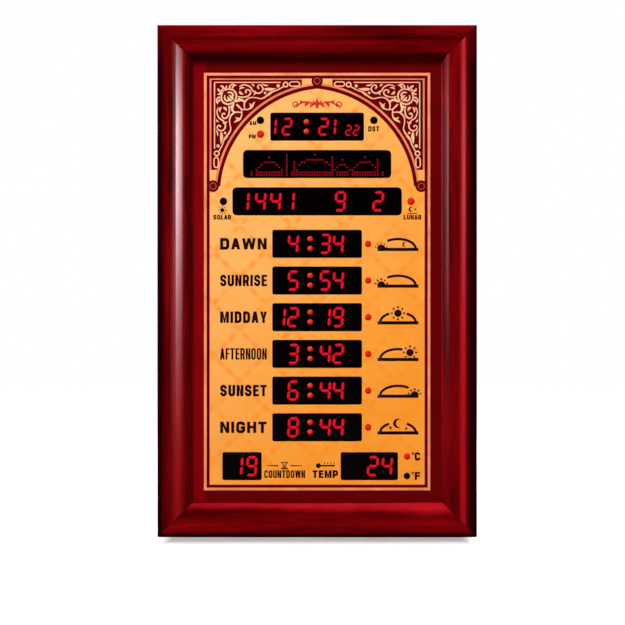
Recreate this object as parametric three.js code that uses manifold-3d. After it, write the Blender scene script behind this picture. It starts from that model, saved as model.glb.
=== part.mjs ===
// A large prayer-time wall clock: a mitred wooden frame round a printed panel, with eleven LED displays
// and thirteen LED lamps behind it, the electronics on a moulded back cover, and two keyhole hangers.
// Lengths are millimetres. Every piece is drawn as it is seen from the front: x across from the middle,
// y up from the bottom edge and z out towards the viewer, with z = 0 on the wall. The group at the end
// stands this drawing upright, so that the wall is at +Y and the viewer at -Y.
import * as THREE from "three";
import { mergeVertices } from "three/addons/utils/BufferGeometryUtils.js";
import Module from "manifold-3d";

const wasm = await Module();
wasm.setup();

// Clearances and the fineness of round shapes
const seatGap = 0.3; // between a piece and what it seats on or passes through
const overrun = 1; // how far a cutting shape runs past the face that it cuts
const weldDistance = 0.001; // corners closer than this are one
const holeSides = 12;
const cornerSteps = 3;
const quarterTurn = Math.PI / 2;

// Frame and its moulding, from the outer edge of a rail to its lip; drops are measured from the crest
const frameDepth = 50;
const mitreRelief = 0.15; // half of the glue line at each corner
const outerRoundWidth = 12;
const outerRoundRise = 9;
const shelfDrop = 3.4;
const shelfWidth = 4;
const quirkWidth = 7.5;
const quirkDepth = 3;
const risingWidth = 17.5;
const fallingWidth = 3.5;
const fallingDrop = 2.2;
const beadWidth = 1.2;
const beadFall = 0.9;
const innerSlopeWidth = 3.8;
const lipWidth = 2.5;
const lipThickness = 1.6;
const lipOverlap = 7;
const mouldingSteps = 6; // facets of each curve
const fallingStartAngle = 0.55; // the part of an ellipse that each curve follows
const innerSlopeAngles = [0.15, 1.1];
const hollowTurnAngle = 0.9; // where a round or hollow ends and the slope between them starts
const turnShares = [0.3, 0.245]; // of a slope's width and height, taken by the round and by the hollow

// Panel and the liner strips that hold it against the lip
const panelSink = 16; // from the crest down to the printed face
const panelThickness = 3;
const linerWidth = 8;

// Back cover
const coverThickness = 3;
const coverRecess = 5;
const coverLedge = 8;

// Windows, with the steps from each row of displays to the next
const windowHeight = 41.2;
const windowCorner = 2.8;
const wideWindowCorner = 6;
const clockWindowWidth = 137.4;
const messageWindowWidth = 217.5;
const dateWindowWidth = 248.5;
const timeWindowWidth = 131.5;
const countdownWindowWidth = 57.7;
const temperatureWindowWidth = 84.1;
const topToClock = 148.5;
const clockToMessage = 54.8;
const messageToDate = 54.7;
const dateToTimes = 62.3;
const timePitch = 53.8;
const timesToStatus = 57;
const statusRowHeight = 103.7;
const countdownFromMiddle = 110.1;
const temperatureFromMiddle = 76.5;
const timeNames = ["dawn", "sunrise", "noon", "afternoon", "sunset", "night"];
const timeReadings = ["4:34", "5:54", "12:19", "3:42", "6:44", "8:44"];

// Display modules and their digits
const displayMargin = 1.5; // module past each side of its window
const displayThickness = 8.6; // behind the panel
const lensSink = 0.7; // from the printed face down to a module's lens
const segmentRise = 0.4;
const segmentGap = 0.5;
const digitSlantShare = 0.07; // sideways lean for each unit of height
const timeDigit = { width: 16.6, height: 30, stroke: 3.9, oneInsetShare: 0 };
const clockDigit = { width: 15, height: 26.5, stroke: 3.5, oneInsetShare: 1 };
const dateDigit = { ...timeDigit, oneInsetShare: 0.35 };
const secondsDigit = { width: 9.4, height: 15.8, stroke: 2.2, oneInsetShare: 0 };
const statusDigitPitch = 20.8;

// Places of the digits in the large windows, as shares of the window's width from its middle
const timeLayoutShares = { colon: -0.077, hours: 0.19, minutes: 0.166, pitch: 0.146 };
const clockLayoutShares = { colon: -0.114, hours: 0.206, minutes: 0.183, pitch: 0.123 };
const secondsShares = { middle: 0.376, pitch: 0.082 };
const dateShares = { year: -0.29, month: 0.092, day: 0.316, pitch: 0.089 };
const countdownMiddleShare = 0.062;
const temperatureMiddleShare = 0.185;
const colonRadius = 3.9;
const colonHalfSpread = 7.1;
const colonRise = 0.6;
const matrixSide = 31.4;
const matrixPitch = 32;
const matrixCount = 6;

// Indicator lamps
const largeLampRadius = 5.3;
const smallLampRadius = 4.5;
const lampProud = 2.2; // dome above the printed face
const lampFlange = 0.8;
const lampFlangeThickness = 1.5;
const lampSides = 10;
const clockLampGap = 14.5; // from the window to the lamp's middle
const clockLampHalfSpread = 10.1;
const clockLampDrop = 0.8; // of their middle below the clock row's
const dateLampGap = 13.2;
const dateLampToFrameEdge = 96.55;
const timeLampGap = 9;
const statusLampGap = 13.1;
const statusLampHalfSpread = 14.3;

// Circuit boards
const boardThickness = 1.6;
const displayBoardMargin = 7.4; // past the outermost lamp, and past the top and bottom displays
const headerHeight = 5.5;
const headerWidth = 8;
const headerLength = 44;
const headerFromMiddle = 62;

// Posts that carry the boards, each with a pin that ends flush in the board
const postRadius = 4;
const postPinRadius = 1.5;
const postSides = 6;
const postFromMiddle = 50;
const lowPostHeight = 4;
const lowPostInset = 6; // from a board's edges

// Screws, one kind for the cover and the hangers
const screwHeadRadius = 3.5;
const screwHeadHeight = 2;
const screwRadius = 1.75;
const screwLength = 16;
const screwTip = 3;
const screwSides = 8;
const screwSlotWidth = 1;
const screwSlotDepth = 0.9;
const coverScrewShares = [0.12, 0.5, 0.88]; // of the frame's height

// Keyhole hangers
const hangerWidth = 26;
const hangerHeight = 62;
const hangerThickness = 1.5;
const hangerRecess = 4.6;
const hangerCorner = 4;
const hangerFromTop = 92;
const hangerScrewInset = 7;
const keyholeRadius = 5;
const keyholeSlotWidth = 5;
const keyholeRise = 13; // from the middle of the round hole to the middle of the slot's end
const keyholeDrop = 8; // middle of the round hole below the middle of the plate
const hangerPocketDepth = 12;
const hangerPocketMargin = 2.5;

// Speaker and its grille
const knobToSpeaker = 84;
const speakerRadius = 33;
const speakerFlangeWidth = 4;
const speakerFlangeThickness = 1.6;
const speakerNeckRadius = 15;
const speakerNeckHeight = 9;
const speakerWall = 1.4;
const magnetRadius = 17;
const magnetThickness = 7;
const coneDepth = 5;
const coneThickness = 0.7;
const dustCapRadius = 7;
const speakerSides = 20;
const grilleRadius = 30;
const grilleSlotWidth = 2.6;
const grillePitch = 6.4;
const grilleSlots = 9;

// Vents near the top and the bottom of the cover
const ventLength = 34;
const ventWidth = 3;
const ventPitch = 8;
const ventCount = 6;
const ventFromTop = 110;
const ventFromBottom = 74;

// Controls
const buttonNames = ["menu", "up", "down", "enter"];
const buttonRowHeight = 186;
const buttonPitch = 19;
const buttonRadius = 4.5;
const buttonFlange = 1.4;
const buttonFlangeThickness = 1.5;
const buttonProud = 2.6;
const buttonTravel = 1.5;
const buttonStemRadius = 1.6;
const switchSide = 6;
const switchHeight = 3.4;
const buttonsToKnob = 46;
const knobRadius = 11;
const knobThickness = 3.6;
const knobSides = 18;
const knobGripDepth = 0.7;
const knobMarkWidth = 1.4;
const knobMarkDepth = 0.6;
const shaftRadius = 3;
const shaftEngagement = 4.4; // how deep the shaft stands in the potentiometer
const potentiometerRadius = 8;
const controlBoardMargin = 12; // past the button row and past the knob
const controlBoardGap = 10.6; // from the cover to the board

// Main board, with its parts, the power jack and the cup in the cover that the jack opens into
const mainBoardToDisplayBoard = 4.55;
const mainBoardToLiner = 10.7;
const mainBoardHeight = 178;
const mainBoardBottom = 226;
const chipSide = 14;
const chipHeight = 1.6;
const capacitorRadius = 5;
const capacitorHeight = 11;
const regulatorSize = [10, 15, 9]; // width, height and rise
const mainBoardParts = [
  { placeShares: [-0.05, 0.05], size: [chipSide, chipSide, chipHeight] },
  { placeShares: [-0.25, 0.32], size: [chipSide / 2, chipSide, chipHeight] },
  { placeShares: [0.25, -0.1], size: [chipSide, chipSide / 2, chipHeight] },
  { placeShares: [0.3, -0.28], size: regulatorSize },
]; // each place is a share of the board's width and height from its middle
const capacitorPlaceShares = [
  [-0.3, -0.3],
  [-0.1, -0.3],
];
const coinPlaceShares = [0.25, 0.3];
const holderSide = 24;
const holderHeight = 2.6;
const coinRadius = 10;
const coinThickness = 3.2;
const coinSink = 1.6; // how deep the cell sits in its holder
const jackWidth = 9;
const jackHeight = 11;
const jackLength = 13;
const jackNose = 4; // how far the barrel stands into the cup
const jackBarrelRadius = 4.5;
const jackBoreRadius = 3.2;
const jackBoreDepth = 9.5;
const jackPinRadius = 1;
const cupWidth = 34;
const cupHeight = 44;
const cupMargin = 1.3; // past the jack's barrel
const cupWall = 2;
const cupFlangeWidth = 3;
const cupFlangeThickness = 1.8;
const cableNotchWidth = 9;
const cableNotchDepth = 7;

// Wiring inside the case
const leadRadius = 1.5;
const leadSides = 8;
const leadSteps = 22;
const leadHeight = 2.6; // from the cover to the lead's middle
const leadSagShare = 0.05; // of the lead's span
const ribbonThickness = 1;
const ribbonWidth = 38;
const ribbonRun = 6; // straight part at each end

// Across a rail
const quirkEnd = outerRoundWidth + shelfWidth + quirkWidth;
const crestFromEdge = quirkEnd + risingWidth;
const railWidth = crestFromEdge + fallingWidth + beadWidth + innerSlopeWidth + lipWidth;

// Heights out from the wall that follow from the sizes above
const coverFront = coverRecess + coverThickness;
const innerWall = railWidth - lipOverlap;
const backStripWidth = innerWall - coverLedge;
const panelFront = frameDepth - panelSink;
const panelBack = panelFront - panelThickness;
const displayFace = panelBack - seatGap;
const lensFace = panelFront - lensSink;
const displayBack = displayFace - displayThickness;
const boardFront = displayBack - seatGap;
const boardBack = boardFront - boardThickness;
const mainBoardBack = coverFront + lowPostHeight + seatGap;
const mainBoardFront = mainBoardBack + boardThickness;
const mainBoardRoot = mainBoardBack + boardThickness / 2; // where what stands on the board is rooted
const controlBoardBack = coverFront + controlBoardGap;

// Rows of displays, up from the bottom edge, and the frame that goes round them
const lastTimeRow = statusRowHeight + timesToStatus;
const firstTimeRow = lastTimeRow + (timeNames.length - 1) * timePitch;
const dateRow = firstTimeRow + dateToTimes;
const messageRow = dateRow + messageToDate;
const clockRow = messageRow + clockToMessage;
const timeRows = timeNames.map((_, i) => firstTimeRow - i * timePitch);
const frameHeight = clockRow + topToClock;
const clockLampFromMiddle = clockWindowWidth / 2 + clockLampGap;
const dateLampFromMiddle = dateWindowWidth / 2 + dateLampGap;
const timeLampFromMiddle = timeWindowWidth / 2 + timeLampGap;
const statusLampFromMiddle = temperatureFromMiddle + temperatureWindowWidth / 2 + statusLampGap;
const frameSide = dateLampFromMiddle + dateLampToFrameEdge;
const frameWidth = 2 * frameSide;

// Main board to the right of the display board's stem, controls and speaker to the left of it
const rebateWidth = frameWidth - 2 * (innerWall + seatGap);
const rebateHeight = frameHeight - 2 * (innerWall + seatGap);
const stemSide = timeLampFromMiddle + smallLampRadius + lampFlange + displayBoardMargin;
const mainBoardLeft = stemSide + mainBoardToDisplayBoard;
const mainBoardRight = rebateWidth / 2 - linerWidth - mainBoardToLiner;
const mainBoardWidth = mainBoardRight - mainBoardLeft;
const sideMiddle = (mainBoardLeft + mainBoardRight) / 2;
const knobHeight = buttonRowHeight + buttonsToKnob;
const speakerHeight = knobHeight + knobToSpeaker;

const materials = {
  wood: finish(0x6a0c12, 0.3, 0),
  print: finish(0xf0a044, 0.35, 0),
  module: finish(0x0c0a0a, 0.45, 0),
  lamp: finish(0xe8261a, 0.2, 0),
  board: finish(0x1f5a34, 0.5, 0),
  plastic: finish(0x191919, 0.6, 0),
  liner: finish(0xb8a27c, 0.8, 0),
  steel: finish(0xb4b6b8, 0.35, 1),
  cone: finish(0x26221f, 0.9, 0),
  cable: finish(0x9a9a98, 0.6, 0),
};

function finish(color, roughness, metalness) {
  return new THREE.MeshStandardMaterial({ color, roughness, metalness });
}

// Outlines, as lists of points

function arc(x, y, radiusX, radiusY, from, to, steps) {
  const points = [];
  for (let i = 0; i <= steps; i++) {
    const angle = from + ((to - from) * i) / steps;
    points.push([x + radiusX * Math.cos(angle), y + radiusY * Math.sin(angle)]);
  }
  return points;
}

function circle(x, y, radius, sides = holeSides) {
  return arc(x, y, radius, radius, 0, 4 * quarterTurn, sides).slice(0, -1);
}

function roundedRectangle(x, y, width, height, corner) {
  const right = x + width / 2 - corner;
  const left = x - width / 2 + corner;
  const top = y + height / 2 - corner;
  const bottom = y - height / 2 + corner;
  const corners = [
    [right, top],
    [left, top],
    [left, bottom],
    [right, bottom],
  ];
  return corners.flatMap(([cx, cy], i) =>
    arc(cx, cy, corner, corner, i * quarterTurn, (i + 1) * quarterTurn, cornerSteps),
  );
}

function rectangle(x, y, width, height) {
  return [
    [x - width / 2, y - height / 2],
    [x + width / 2, y - height / 2],
    [x + width / 2, y + height / 2],
    [x - width / 2, y + height / 2],
  ];
}

function points(outline) {
  return outline.map(([x, y]) => new THREE.Vector2(x, y));
}

// Solids

function solidOf(geometry) {
  const bare = geometry.index ? geometry.toNonIndexed() : geometry.clone();
  const positionOnly = new THREE.BufferGeometry();
  positionOnly.setAttribute("position", bare.getAttribute("position"));
  const merged = mergeVertices(positionOnly, weldDistance);
  const index = merged.index.array;
  const kept = [];
  for (let i = 0; i < index.length; i += 3) {
    const [a, b, c] = [index[i], index[i + 1], index[i + 2]];
    if (a !== b && b !== c && c !== a) kept.push(a, b, c);
  }
  const mesh = new wasm.Mesh({
    numProp: 3,
    vertProperties: merged.attributes.position.array,
    triVerts: new Uint32Array(kept),
  });
  return new wasm.Manifold(mesh);
}

function geometryOf(solid) {
  const mesh = solid.getMesh();
  const geometry = new THREE.BufferGeometry();
  geometry.setAttribute("position", new THREE.BufferAttribute(new Float32Array(mesh.vertProperties), 3));
  geometry.setIndex(new THREE.BufferAttribute(new Uint32Array(mesh.triVerts), 1));
  const faceted = geometry.toNonIndexed();
  faceted.computeVertexNormals();
  return faceted;
}

// An outline with holes, pushed out from z = low to z = high.
function slab(outline, low, high, holes = []) {
  const shape = new THREE.Shape(points(outline));
  shape.holes = holes.map((hole) => new THREE.Path(points(hole)));
  const options = { depth: high - low, bevelEnabled: false };
  return solidOf(new THREE.ExtrudeGeometry(shape, options).translate(0, 0, low));
}

function block(x, y, width, height, low, high) {
  return slab(rectangle(x, y, width, height), low, high);
}

function post(x, y, radius, low, high, sides = postSides) {
  return slab(circle(x, y, radius, sides), low, high);
}

// A profile of [radius, z] pairs, from low z to high z, turned about an axis along z at x, y.
function turned(profile, x, y, sides) {
  const lathe = new THREE.LatheGeometry(points(profile), sides);
  return solidOf(lathe.rotateX(quarterTurn).translate(x, y, 0));
}

function join(solids) {
  return solids.reduce((whole, solid) => whole.add(solid));
}

function cut(solid, tools) {
  return tools.reduce((rest, tool) => rest.subtract(tool), solid);
}

const clock = new THREE.Group();

function add(name, solid, material) {
  const mesh = new THREE.Mesh(geometryOf(solid), material);
  mesh.name = name;
  clock.add(mesh);
}

// Displays: one entry for each window, with its place, its size and what it reads

const displays = [
  {
    name: "display_clock",
    x: 0,
    y: clockRow,
    width: clockWindowWidth,
    corner: windowCorner,
    digits: [...timeReading("12:21", clockWindowWidth, clockLayoutShares, clockDigit), ...secondsReading()],
    colons: [clockWindowWidth * clockLayoutShares.colon],
  },
  {
    name: "display_message",
    x: 0,
    y: messageRow,
    width: messageWindowWidth,
    corner: wideWindowCorner,
    digits: [],
    colons: [],
  },
  {
    name: "display_date",
    x: 0,
    y: dateRow,
    width: dateWindowWidth,
    corner: wideWindowCorner,
    digits: [
      ...dateNumbers("1441", dateShares.year),
      ...dateNumbers(" 9", dateShares.month),
      ...dateNumbers(" 2", dateShares.day),
    ],
    colons: [],
  },
  ...timeNames.map((name, i) => ({
    name: "display_" + name,
    x: 0,
    y: timeRows[i],
    width: timeWindowWidth,
    corner: windowCorner,
    digits: timeReading(timeReadings[i], timeWindowWidth, timeLayoutShares, timeDigit),
    colons: [timeWindowWidth * timeLayoutShares.colon],
  })),
  {
    name: "display_countdown",
    x: -countdownFromMiddle,
    y: statusRowHeight,
    width: countdownWindowWidth,
    corner: windowCorner,
    digits: numbers("19", countdownWindowWidth * countdownMiddleShare, statusDigitPitch, timeDigit),
    colons: [],
  },
  {
    name: "display_temperature",
    x: temperatureFromMiddle,
    y: statusRowHeight,
    width: temperatureWindowWidth,
    corner: windowCorner,
    digits: numbers("24", temperatureWindowWidth * temperatureMiddleShare, statusDigitPitch, timeDigit),
    colons: [],
  },
];

// Each digit of a number that is centred on x, as its own entry. A 1 moves in from the right side of its place.
function numbers(text, x, pitch, digit, y = 0) {
  const middle = (text.length - 1) / 2;
  const inset = (digit.oneInsetShare * (digit.width - digit.stroke)) / 2;
  return [...text].map((figure, i) => ({ figure, digit, x: x + (i - middle) * pitch - (figure === "1" ? inset : 0), y }));
}

// Hours and minutes on either side of a colon.
function timeReading(text, width, shares, digit) {
  const [hours, minutes] = text.split(":");
  const colon = width * shares.colon;
  const pitch = width * shares.pitch;
  return [
    ...numbers(hours.padStart(2, " "), colon - width * shares.hours - pitch / 2, pitch, digit),
    ...numbers(minutes, colon + width * shares.minutes + pitch / 2, pitch, digit),
  ];
}

// Small digits that stand on the same line as the clock's large ones.
function secondsReading() {
  const x = clockWindowWidth * secondsShares.middle;
  const foot = (secondsDigit.height - clockDigit.height) / 2;
  return numbers("22", x, clockWindowWidth * secondsShares.pitch, secondsDigit, foot);
}

function dateNumbers(text, middleShare) {
  return numbers(text, dateWindowWidth * middleShare, dateWindowWidth * dateShares.pitch, dateDigit);
}

// The segments a to g that each figure lights.
function litSegments(figure) {
  const lit = {
    " ": "",
    1: "bc",
    2: "abged",
    3: "abgcd",
    4: "fgbc",
    5: "afgcd",
    6: "afgedc",
    8: "abcdefg",
    9: "abcdfg",
  };
  return [...lit[figure]];
}

// One pointed bar of a digit, leaning with the digit.
function segmentOutline(segment, { figureX, figureY, digit }) {
  const side = (digit.width - digit.stroke) / 2;
  const rise = (digit.height - digit.stroke) / 2;
  const flat = { a: rise, g: 0, d: -rise };
  const upright = { f: [-side, rise], b: [side, rise], e: [-side, -rise], c: [side, -rise] };
  const half = digit.stroke / 2;
  const lean = ([x, y]) => [figureX + x + y * digitSlantShare, figureY + y];
  if (segment in flat) {
    const reach = side - segmentGap;
    const y = flat[segment];
    const bar = [
      [-reach, y],
      [half - reach, y - half],
      [reach - half, y - half],
      [reach, y],
      [reach - half, y + half],
      [half - reach, y + half],
    ];
    return bar.map(lean);
  }
  const [x, end] = upright[segment];
  const low = Math.min(0, end) + segmentGap;
  const high = Math.max(0, end) - segmentGap;
  const bar = [
    [x, low],
    [x + half, low + half],
    [x + half, high - half],
    [x, high],
    [x - half, high - half],
    [x - half, low + half],
  ];
  return bar.map(lean);
}

const moduleHeight = windowHeight + 2 * displayMargin;

// A module behind the panel, with a lens that fills its window and the lit figures on the lens
function displaySolid(display) {
  const { x, y, width, corner } = display;
  const lens = roundedRectangle(x, y, width - 2 * seatGap, windowHeight - 2 * seatGap, corner - seatGap);
  const pieces = [
    block(x, y, width + 2 * displayMargin, moduleHeight, displayBack, displayFace),
    slab(lens, displayBack + displayThickness / 2, lensFace),
  ];
  for (const each of display.digits) {
    const place = { figureX: x + each.x, figureY: y + each.y, digit: each.digit };
    for (const segment of litSegments(each.figure)) {
      pieces.push(slab(segmentOutline(segment, place), lensFace - segmentRise, lensFace + segmentRise));
    }
  }
  for (const colon of display.colons) {
    for (const side of [-1, 1]) pieces.push(colonLamp(x + colon, y + side * colonHalfSpread));
  }
  if (display.name === "display_message") pieces.push(...matrixBlocks(display));
  return join(pieces);
}

function colonLamp(x, y) {
  const top = lensFace + colonRise;
  const profile = [
    [0, lensFace - colonRise],
    [colonRadius, lensFace - colonRise],
    [colonRadius, lensFace],
    [colonRadius / 2, top],
    [0, top],
  ];
  return turned(profile, x, y, lampSides);
}

function matrixBlocks(display) {
  return Array.from({ length: matrixCount }, (_, i) => {
    const x = display.x + (i - (matrixCount - 1) / 2) * matrixPitch;
    return block(x, display.y, matrixSide, matrixSide, lensFace - segmentRise, lensFace + segmentRise);
  });
}

// Lamps: one entry for each, with its place and its size

const upperClockLamp = clockRow - clockLampDrop + clockLampHalfSpread;
const lowerClockLamp = clockRow - clockLampDrop - clockLampHalfSpread;
const lamps = [
  lamp("lamp_am", -clockLampFromMiddle, upperClockLamp, largeLampRadius),
  lamp("lamp_pm", -clockLampFromMiddle, lowerClockLamp, largeLampRadius),
  lamp("lamp_daylight_saving", clockLampFromMiddle, upperClockLamp, largeLampRadius),
  lamp("lamp_solar_calendar", -dateLampFromMiddle, dateRow, largeLampRadius),
  lamp("lamp_lunar_calendar", dateLampFromMiddle, dateRow, largeLampRadius),
  ...timeNames.map((name, i) => lamp("lamp_" + name, timeLampFromMiddle, timeRows[i], smallLampRadius)),
  lamp("lamp_celsius", statusLampFromMiddle, statusRowHeight + statusLampHalfSpread, smallLampRadius),
  lamp("lamp_fahrenheit", statusLampFromMiddle, statusRowHeight - statusLampHalfSpread, smallLampRadius),
];

function lamp(name, x, y, radius) {
  return { name, x, y, radius };
}

function lampSolid({ x, y, radius }) {
  const domeFoot = panelFront + lampProud - radius;
  const flangeTop = displayBack + lampFlangeThickness;
  const dome = arc(0, domeFoot, radius, radius, 0, quarterTurn, cornerSteps);
  dome[dome.length - 1][0] = 0;
  const profile = [
    [0, displayBack],
    [radius + lampFlange, displayBack],
    [radius + lampFlange, flangeTop],
    [radius, flangeTop],
    ...dome,
  ];
  return turned(profile, x, y, lampSides);
}

function lampHoles() {
  return lamps.map(({ x, y, radius }) => circle(x, y, radius + seatGap, lampSides));
}

// Frame rails

// Part of an ellipse from one point to another, between two angles of that ellipse
function bulge([x0, z0], [x1, z1], from, to) {
  const radiusX = (x1 - x0) / (Math.cos(to) - Math.cos(from));
  const radiusZ = (z1 - z0) / (Math.sin(to) - Math.sin(from));
  const middleX = x0 - radiusX * Math.cos(from);
  const middleZ = z0 - radiusZ * Math.sin(from);
  return arc(middleX, middleZ, radiusX, radiusZ, from, to, mouldingSteps);
}

// A slope from a crest down to a hollow: round at its top, then straight, then hollow.
function wave([topX, topZ], [footX, footZ]) {
  const [across, down] = turnShares;
  const roundEnd = [between(topX, footX, across), between(topZ, footZ, down)];
  const hollowStart = [between(footX, topX, across), between(footZ, topZ, down)];
  return [
    ...bulge([topX, topZ], roundEnd, quarterTurn, 2 * quarterTurn - hollowTurnAngle),
    ...bulge(hollowStart, [footX, footZ], -hollowTurnAngle, -quarterTurn),
  ];
}

// Across a rail: x from its outer edge and z out from the wall
function mouldingProfile() {
  const lipBack = panelFront + seatGap;
  const lipFront = lipBack + lipThickness;
  const shelf = frameDepth - shelfDrop;
  const quirkFoot = [quirkEnd, shelf - quirkDepth];
  const crest = [crestFromEdge, frameDepth];
  const fallingEnd = [crestFromEdge + fallingWidth, frameDepth - fallingDrop];
  const beadHeight = frameDepth - fallingDrop - beadFall;
  const beadEnd = [crestFromEdge + fallingWidth + beadWidth, beadHeight];
  const [leanEarly, leanLate] = innerSlopeAngles;
  return [
    [0, 0],
    [backStripWidth, 0],
    [backStripWidth, coverFront],
    [innerWall, coverFront],
    [innerWall, lipBack],
    [railWidth, lipBack],
    [railWidth, lipFront],
    ...bulge([railWidth - lipWidth, lipFront], beadEnd, leanEarly, leanLate),
    [fallingEnd[0], beadHeight],
    ...bulge(fallingEnd, crest, fallingStartAngle, quarterTurn),
    ...wave(crest, quirkFoot).slice(1),
    ...wave([outerRoundWidth + shelfWidth, shelf], quirkFoot).reverse().slice(1),
    ...bulge([outerRoundWidth, shelf], [0, shelf - outerRoundRise], quarterTurn, 2 * quarterTurn),
  ];
}

// A rail is the moulding drawn one unit long; place() then sets each point of it, so that both ends are mitred.
function railSolid(place) {
  const unit = new THREE.ExtrudeGeometry(new THREE.Shape(points(mouldingProfile())), {
    depth: 1,
    bevelEnabled: false,
  });
  const position = unit.getAttribute("position");
  for (let i = 0; i < position.count; i++) {
    const across = position.getX(i);
    const out = position.getY(i);
    const [x, y] = place(across, position.getZ(i));
    position.setXYZ(i, x, y, out);
  }
  return solidOf(unit);
}

function between(from, to, share) {
  return from + (to - from) * share;
}

function bottomRailPlace(across, share) {
  const reach = frameSide - across - mitreRelief;
  return [between(-reach, reach, share), across];
}

function topRailPlace(across, share) {
  const [x, y] = bottomRailPlace(across, share);
  return [-x, frameHeight - y];
}

function rightRailPlace(across, share) {
  const low = across + mitreRelief;
  return [frameSide - across, between(low, frameHeight - low, share)];
}

function leftRailPlace(across, share) {
  const [x, y] = rightRailPlace(across, share);
  return [-x, frameHeight - y];
}

const hangerX = frameSide - backStripWidth / 2;
const hangerY = frameHeight - hangerFromTop;
const coverScrewX = frameSide - backStripWidth - coverLedge / 2;
const coverScrewRows = coverScrewShares.map((share) => share * frameHeight);

function hangerPlate(x, margin) {
  return roundedRectangle(x, hangerY, hangerWidth + 2 * margin, hangerHeight + 2 * margin, hangerCorner);
}

function hangerRecessTools(x) {
  const pocketLow = hangerY - keyholeDrop - keyholeRadius - hangerPocketMargin;
  const pocketHigh = hangerY - keyholeDrop + keyholeRise + keyholeSlotWidth / 2 + hangerPocketMargin;
  const pocket = block(
    x,
    (pocketLow + pocketHigh) / 2,
    2 * (keyholeRadius + hangerPocketMargin),
    pocketHigh - pocketLow,
    -overrun,
    hangerPocketDepth,
  );
  const recess = slab(hangerPlate(x, seatGap), -overrun, hangerRecess);
  return [recess, pocket, ...hangerScrewHoles(x, -overrun)];
}

function hangerScrewRows() {
  const reach = hangerHeight / 2 - hangerScrewInset;
  return [hangerY + reach, hangerY - reach];
}

function hangerScrewHoles(x, low) {
  const high = hangerRecess - hangerThickness + screwLength + seatGap;
  return hangerScrewRows().map((y) => post(x, y, screwRadius + seatGap, low, high));
}

function coverScrewHoles(side) {
  const high = coverRecess + screwLength + seatGap;
  return coverScrewRows.map((y) => post(side * coverScrewX, y, screwRadius + seatGap, coverRecess, high));
}

function addFrame() {
  const notch = block(
    sideMiddle,
    backStripWidth / 2,
    cableNotchWidth,
    backStripWidth + 2 * overrun,
    -overrun,
    cableNotchDepth,
  );
  add("frame_rail_top", railSolid(topRailPlace), materials.wood);
  add("frame_rail_bottom", cut(railSolid(bottomRailPlace), [notch]), materials.wood);
  for (const [name, side, place] of [
    ["frame_rail_left", -1, leftRailPlace],
    ["frame_rail_right", 1, rightRailPlace],
  ]) {
    const tools = [...hangerRecessTools(side * hangerX), ...coverScrewHoles(side)];
    add(name, cut(railSolid(place), tools), materials.wood);
  }
}

// Panel and liner strips, all inside the rebate

function addPanelStack() {
  const sheet = rectangle(0, frameHeight / 2, rebateWidth, rebateHeight);
  const windows = displays.map((d) => roundedRectangle(d.x, d.y, d.width, windowHeight, d.corner));
  add("front_panel", slab(sheet, panelBack, panelFront, [...windows, ...lampHoles()]), materials.print);
  const linerX = (rebateWidth - linerWidth) / 2;
  for (const [name, side] of [
    ["liner_left", -1],
    ["liner_right", 1],
  ]) {
    const strip = rectangle(side * linerX, frameHeight / 2, linerWidth, rebateHeight);
    add(name, slab(strip, coverFront + seatGap, panelBack - seatGap), materials.liner);
  }
}

// Display board: wide behind the top and the bottom displays, narrow behind the six times

const displayBoardTop = clockRow + moduleHeight / 2 + displayBoardMargin;
const displayBoardBottom = statusRowHeight - moduleHeight / 2 - displayBoardMargin;
const displayBoardSide = dateLampFromMiddle + largeLampRadius + lampFlange + displayBoardMargin;
const stemTop = (dateRow + firstTimeRow) / 2;
const stemBottom = (lastTimeRow + statusRowHeight) / 2;
const headerY = (timeRows[2] + timeRows[3]) / 2;

// Each post stands half-way between two rows of displays.
function displayPosts() {
  const heights = [
    (clockRow + messageRow) / 2,
    (messageRow + dateRow) / 2,
    (dateRow + firstTimeRow) / 2,
    (timeRows[1] + timeRows[2]) / 2,
    (timeRows[3] + timeRows[4]) / 2,
    (lastTimeRow + statusRowHeight) / 2,
  ];
  return heights.flatMap((y) => [
    [-postFromMiddle, y],
    [postFromMiddle, y],
  ]);
}

function displayBoardOutline() {
  return [
    [-displayBoardSide, displayBoardBottom],
    [displayBoardSide, displayBoardBottom],
    [displayBoardSide, stemBottom + displayBoardMargin],
    [stemSide, stemBottom + displayBoardMargin],
    [stemSide, stemTop - displayBoardMargin],
    [displayBoardSide, stemTop - displayBoardMargin],
    [displayBoardSide, displayBoardTop],
    [-displayBoardSide, displayBoardTop],
    [-displayBoardSide, stemTop - displayBoardMargin],
    [-stemSide, stemTop - displayBoardMargin],
    [-stemSide, stemBottom + displayBoardMargin],
    [-displayBoardSide, stemBottom + displayBoardMargin],
  ];
}

function pinHole(x, y) {
  return circle(x, y, postPinRadius + seatGap, postSides);
}

function addDisplays() {
  const holes = displayPosts().map(([x, y]) => pinHole(x, y));
  const board = slab(displayBoardOutline(), boardBack, boardFront, holes);
  const headerLow = boardBack - headerHeight;
  const headerHigh = boardBack + boardThickness / 2;
  const header = block(headerFromMiddle, headerY, headerWidth, headerLength, headerLow, headerHigh);
  add("display_board", join([board, header]), materials.board);
  for (const display of displays) add(display.name, displaySolid(display), materials.module);
  for (const each of lamps) add(each.name, lampSolid(each), materials.lamp);
}

// Main board

const mainBoardMiddle = mainBoardBottom + mainBoardHeight / 2;
const [coinX, coinY] = mainBoardPlace(coinPlaceShares);

function mainBoardPlace([shareX, shareY]) {
  return [sideMiddle + shareX * mainBoardWidth, mainBoardMiddle + shareY * mainBoardHeight];
}

function boardCorners(x, y, width, height) {
  const reachX = width / 2 - lowPostInset;
  const reachY = height / 2 - lowPostInset;
  return [
    [x - reachX, y - reachY],
    [x + reachX, y - reachY],
    [x + reachX, y + reachY],
    [x - reachX, y + reachY],
  ];
}

function mainBoardPosts() {
  return boardCorners(sideMiddle, mainBoardMiddle, mainBoardWidth, mainBoardHeight);
}

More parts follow.
